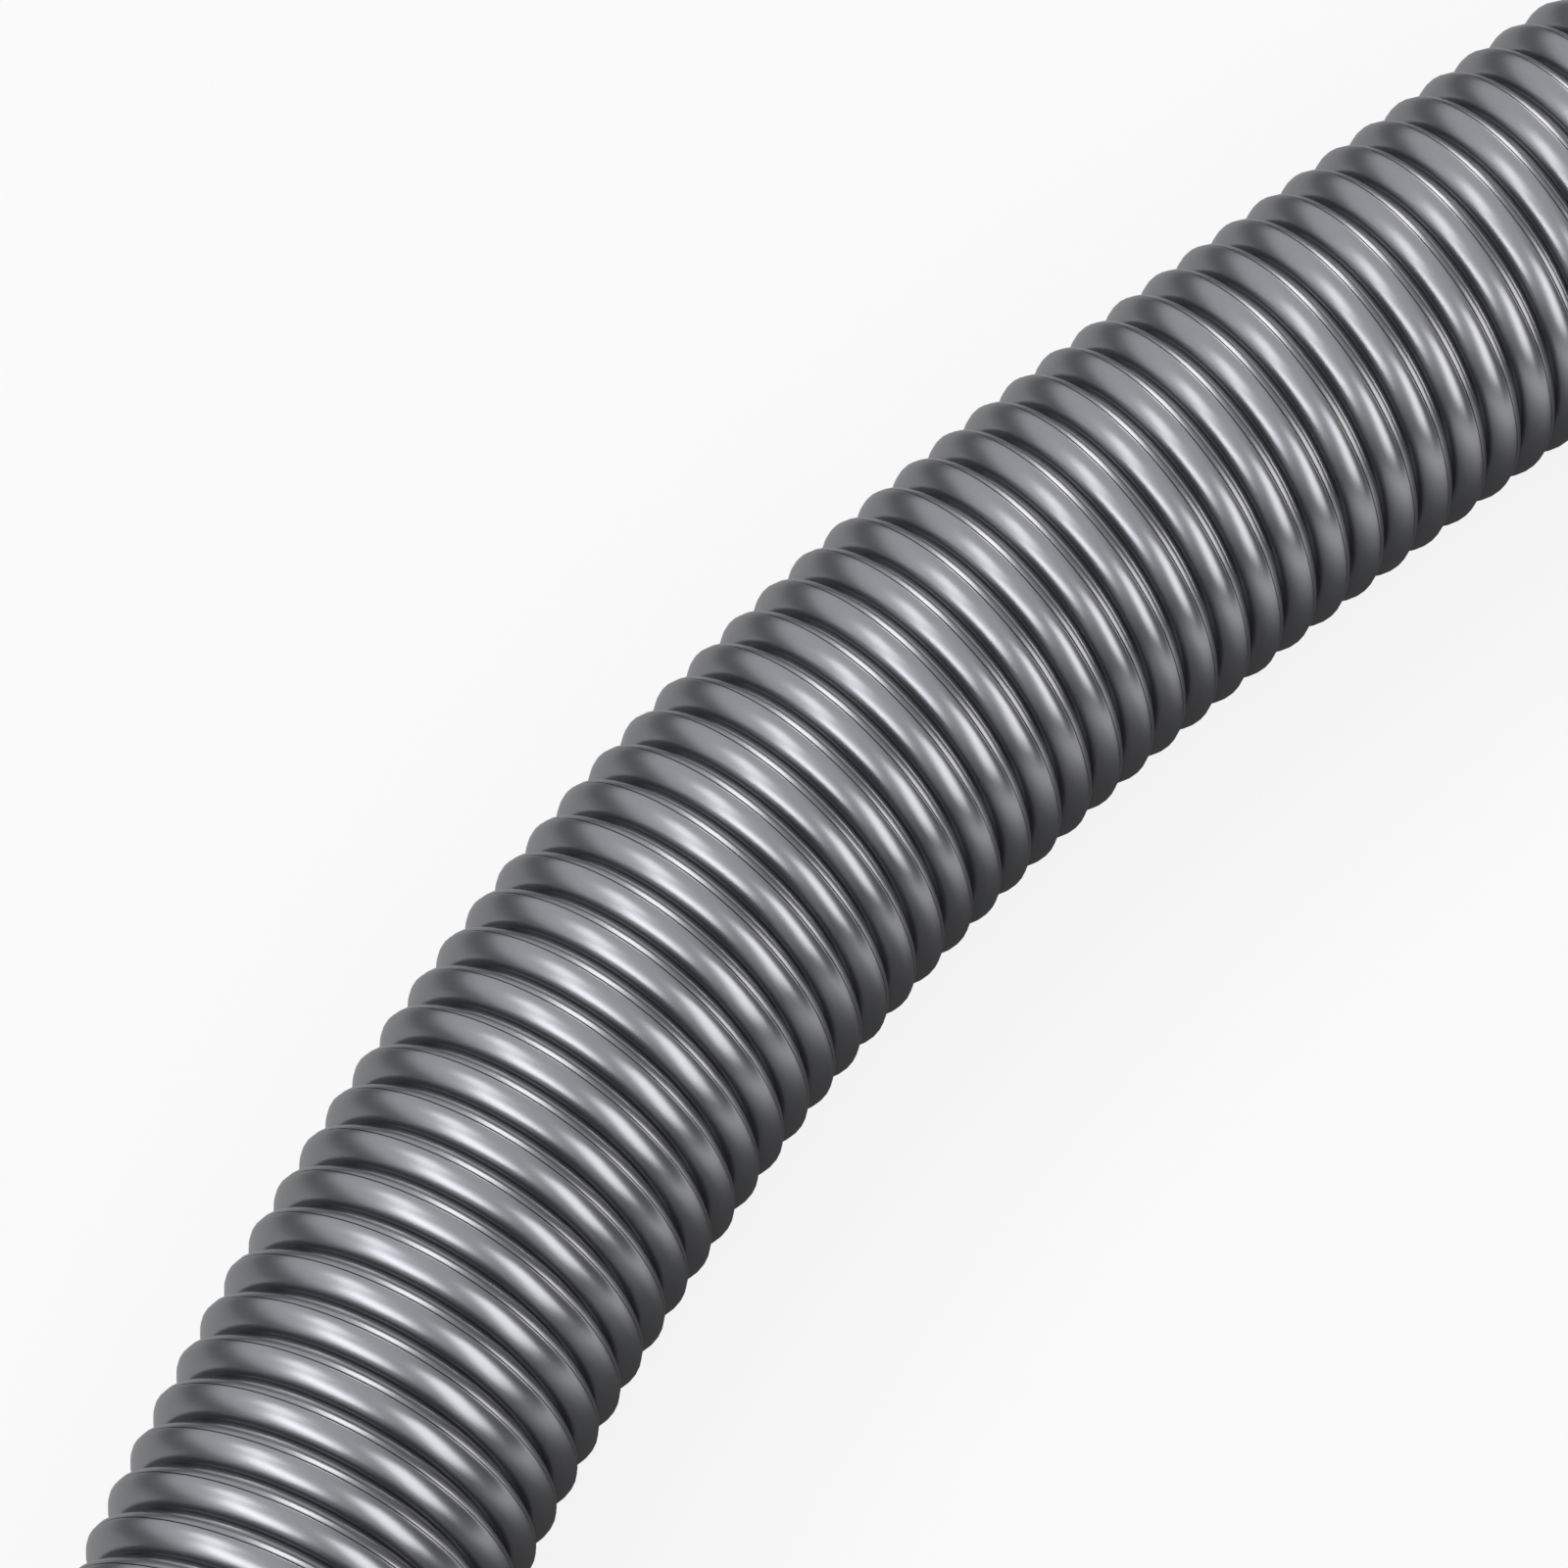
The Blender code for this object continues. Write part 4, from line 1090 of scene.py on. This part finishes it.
# The pale room: its brighter side, and its levels from the dark side to the bright one.
ROOM_LEAN = (-0.15, 0.50, 0.55)
ROOM_LEVELS = ((0.15, 0.08), (0.44, 0.17), (0.62, 0.46), (0.75, 0.72), (0.88, 0.80))
ROOM_TINT = (0.985, 0.99, 1.02)
HORIZON = 0.11  # how high the darker band over the floor reaches
HORIZON_LEVEL = 0.30  # how bright the band is at its foot, against the room's own level

BOX_AWAY = 1.5  # from the camera's target to each softbox
WARM, NEUTRAL, COOL = (1.0, 0.98, 0.94), (1.0, 1.0, 1.0), (0.97, 0.98, 1.0)

# The softboxes: direction from the camera's target, width and height, radiance, colour.
SOFTBOXES = {
    "box_far_left": ((-0.600, 0.440, 0.670), (0.60, 0.50), 2.0, NEUTRAL),
    "box_far_right": ((0.760, 0.300, 0.560), (0.60, 1.00), 2.6, WARM),
    "box_near_left": ((-0.490, -0.720, 0.490), (0.66, 1.20), 2.3, NEUTRAL),
    "box_near_right": ((0.720, -0.640, 0.270), (0.85, 0.75), 1.9, WARM),
    "box_end": ((-0.885, 0.100, 0.430), (0.90, 0.34), 3.4, COOL),
}


def build_floor():
    """A plain white floor that keeps a faint shadow, with painted light and shadow in reflections.
    """
    mesh = bpy.data.meshes.new("floor")
    work = bmesh.new()
    bmesh.ops.create_grid(work, x_segments=1, y_segments=1, size=FLOOR_SIZE)
    work.to_mesh(mesh)
    work.free()
    floor = link(bpy.data.objects.new("floor", mesh))
    floor.location = (0.0, 0.0, -FLOOR_DROP)
    bounce, seen_colour = (FLOOR_BOUNCE,) * 3, (FLOOR_SEEN,) * 3
    material = new_material("white_floor", bounce, 0.9)
    tree, nodes, shader = nodes_of(material)
    feed(tree, shader.inputs["Specular IOR Level"], 0.0)
    ray = nodes.new("ShaderNodeLightPath")
    glow = nodes.new("ShaderNodeEmission")
    seen = directly_seen(tree, ray)
    white = worked_out(tree, "MULTIPLY", seen, FLOOR_WHITE)
    feed(tree, shader.inputs["Base Color"], mixed(tree, seen, bounce, seen_colour))
    where = nodes.new("ShaderNodeTexCoord")
    fit_loop = nodes.new("ShaderNodeVectorMath")
    fit_loop.operation = "MULTIPLY"
    fit_loop.inputs[1].default_value = (1 / LOOP_REACH[0], 1 / LOOP_REACH[1], 0.0)
    feed(tree, fit_loop.inputs[0], where.outputs["Object"])
    away = nodes.new("ShaderNodeVectorMath")
    away.operation = "LENGTH"
    feed(tree, away.inputs[0], fit_loop.outputs[0])
    mirrored = nodes.new("ShaderNodeValToRGB")
    feed(tree, mirrored.inputs["Fac"], worked_out(tree, "MULTIPLY", away.outputs["Value"], 0.5))
    set_ramp(mirrored, FLOOR_GLOW)
    # glossy rays see the floor's painted pattern of light and shadow
    glossy = ray.outputs["Is Glossy Ray"]
    share = worked_out(tree, "MULTIPLY_ADD", glossy, mirrored.outputs["Color"], white)
    mix = nodes.new("ShaderNodeMixShader")
    for socket, source in zip(mix.inputs, (share, shader.outputs[0], glow.outputs[0])):
        feed(tree, socket, source)
    feed(tree, nodes["Material Output"].inputs["Surface"], mix.outputs[0])
    mesh.materials.append(material)


def softbox(name, direction, size, radiance, colour):
    """A rectangular studio light that faces the seen stretch of the hose."""
    data = bpy.data.lights.new(name, "AREA")
    data.shape = "RECTANGLE"
    data.size, data.size_y = size
    data.energy = radiance * math.pi * size[0] * size[1]
    data.color = colour
    lamp = link(bpy.data.objects.new(name, data))
    towards = Vector(direction).normalized()
    lamp.location = Vector(CAMERA_TARGET) + towards * BOX_AWAY
    lamp.rotation_euler = (-towards).to_track_quat("-Z", "Y").to_euler()


def build_light():
    """Soft studio light: a pale room, brighter towards one side, and the softboxes."""
    world = bpy.data.worlds.new("studio")
    bpy.context.scene.world = world
    world.use_nodes = True
    tree = world.node_tree
    nodes = tree.nodes
    room = nodes["Background"]
    where = nodes.new("ShaderNodeTexCoord").outputs["Generated"]
    lean = nodes.new("ShaderNodeVectorMath")
    lean.operation = "DOT_PRODUCT"
    lean.inputs[1].default_value = ROOM_LEAN
    feed(tree, lean.inputs[0], where)
    ramp = nodes.new("ShaderNodeValToRGB")
    feed(tree, ramp.inputs["Fac"], mapped(tree, lean.outputs["Value"], -1.0, 1.0))
    set_ramp(ramp, ROOM_LEVELS, ROOM_TINT)
    feed(tree, room.inputs["Color"], ramp.outputs["Color"])
    height = nodes.new("ShaderNodeSeparateXYZ")
    feed(tree, height.inputs[0], where)
    level = mapped(tree, height.outputs["Z"], 0.0, HORIZON, HORIZON_LEVEL, 1.0)
    feed(tree, room.inputs["Strength"], level)
    white = nodes.new("ShaderNodeBackground")
    feed(tree, white.inputs["Color"], (1.0, 1.0, 1.0))
    seen = directly_seen(tree, nodes.new("ShaderNodeLightPath"))
    mix = nodes.new("ShaderNodeMixShader")
    for socket, source in zip(mix.inputs, (seen, room.outputs[0], white.outputs[0])):
        feed(tree, socket, source)
    feed(tree, nodes["World Output"].inputs["Surface"], mix.outputs[0])
    for name, box in SOFTBOXES.items():
        softbox(name, *box)


build_floor()
build_light()
bpy.context.scene.view_settings.view_transform = "Standard"
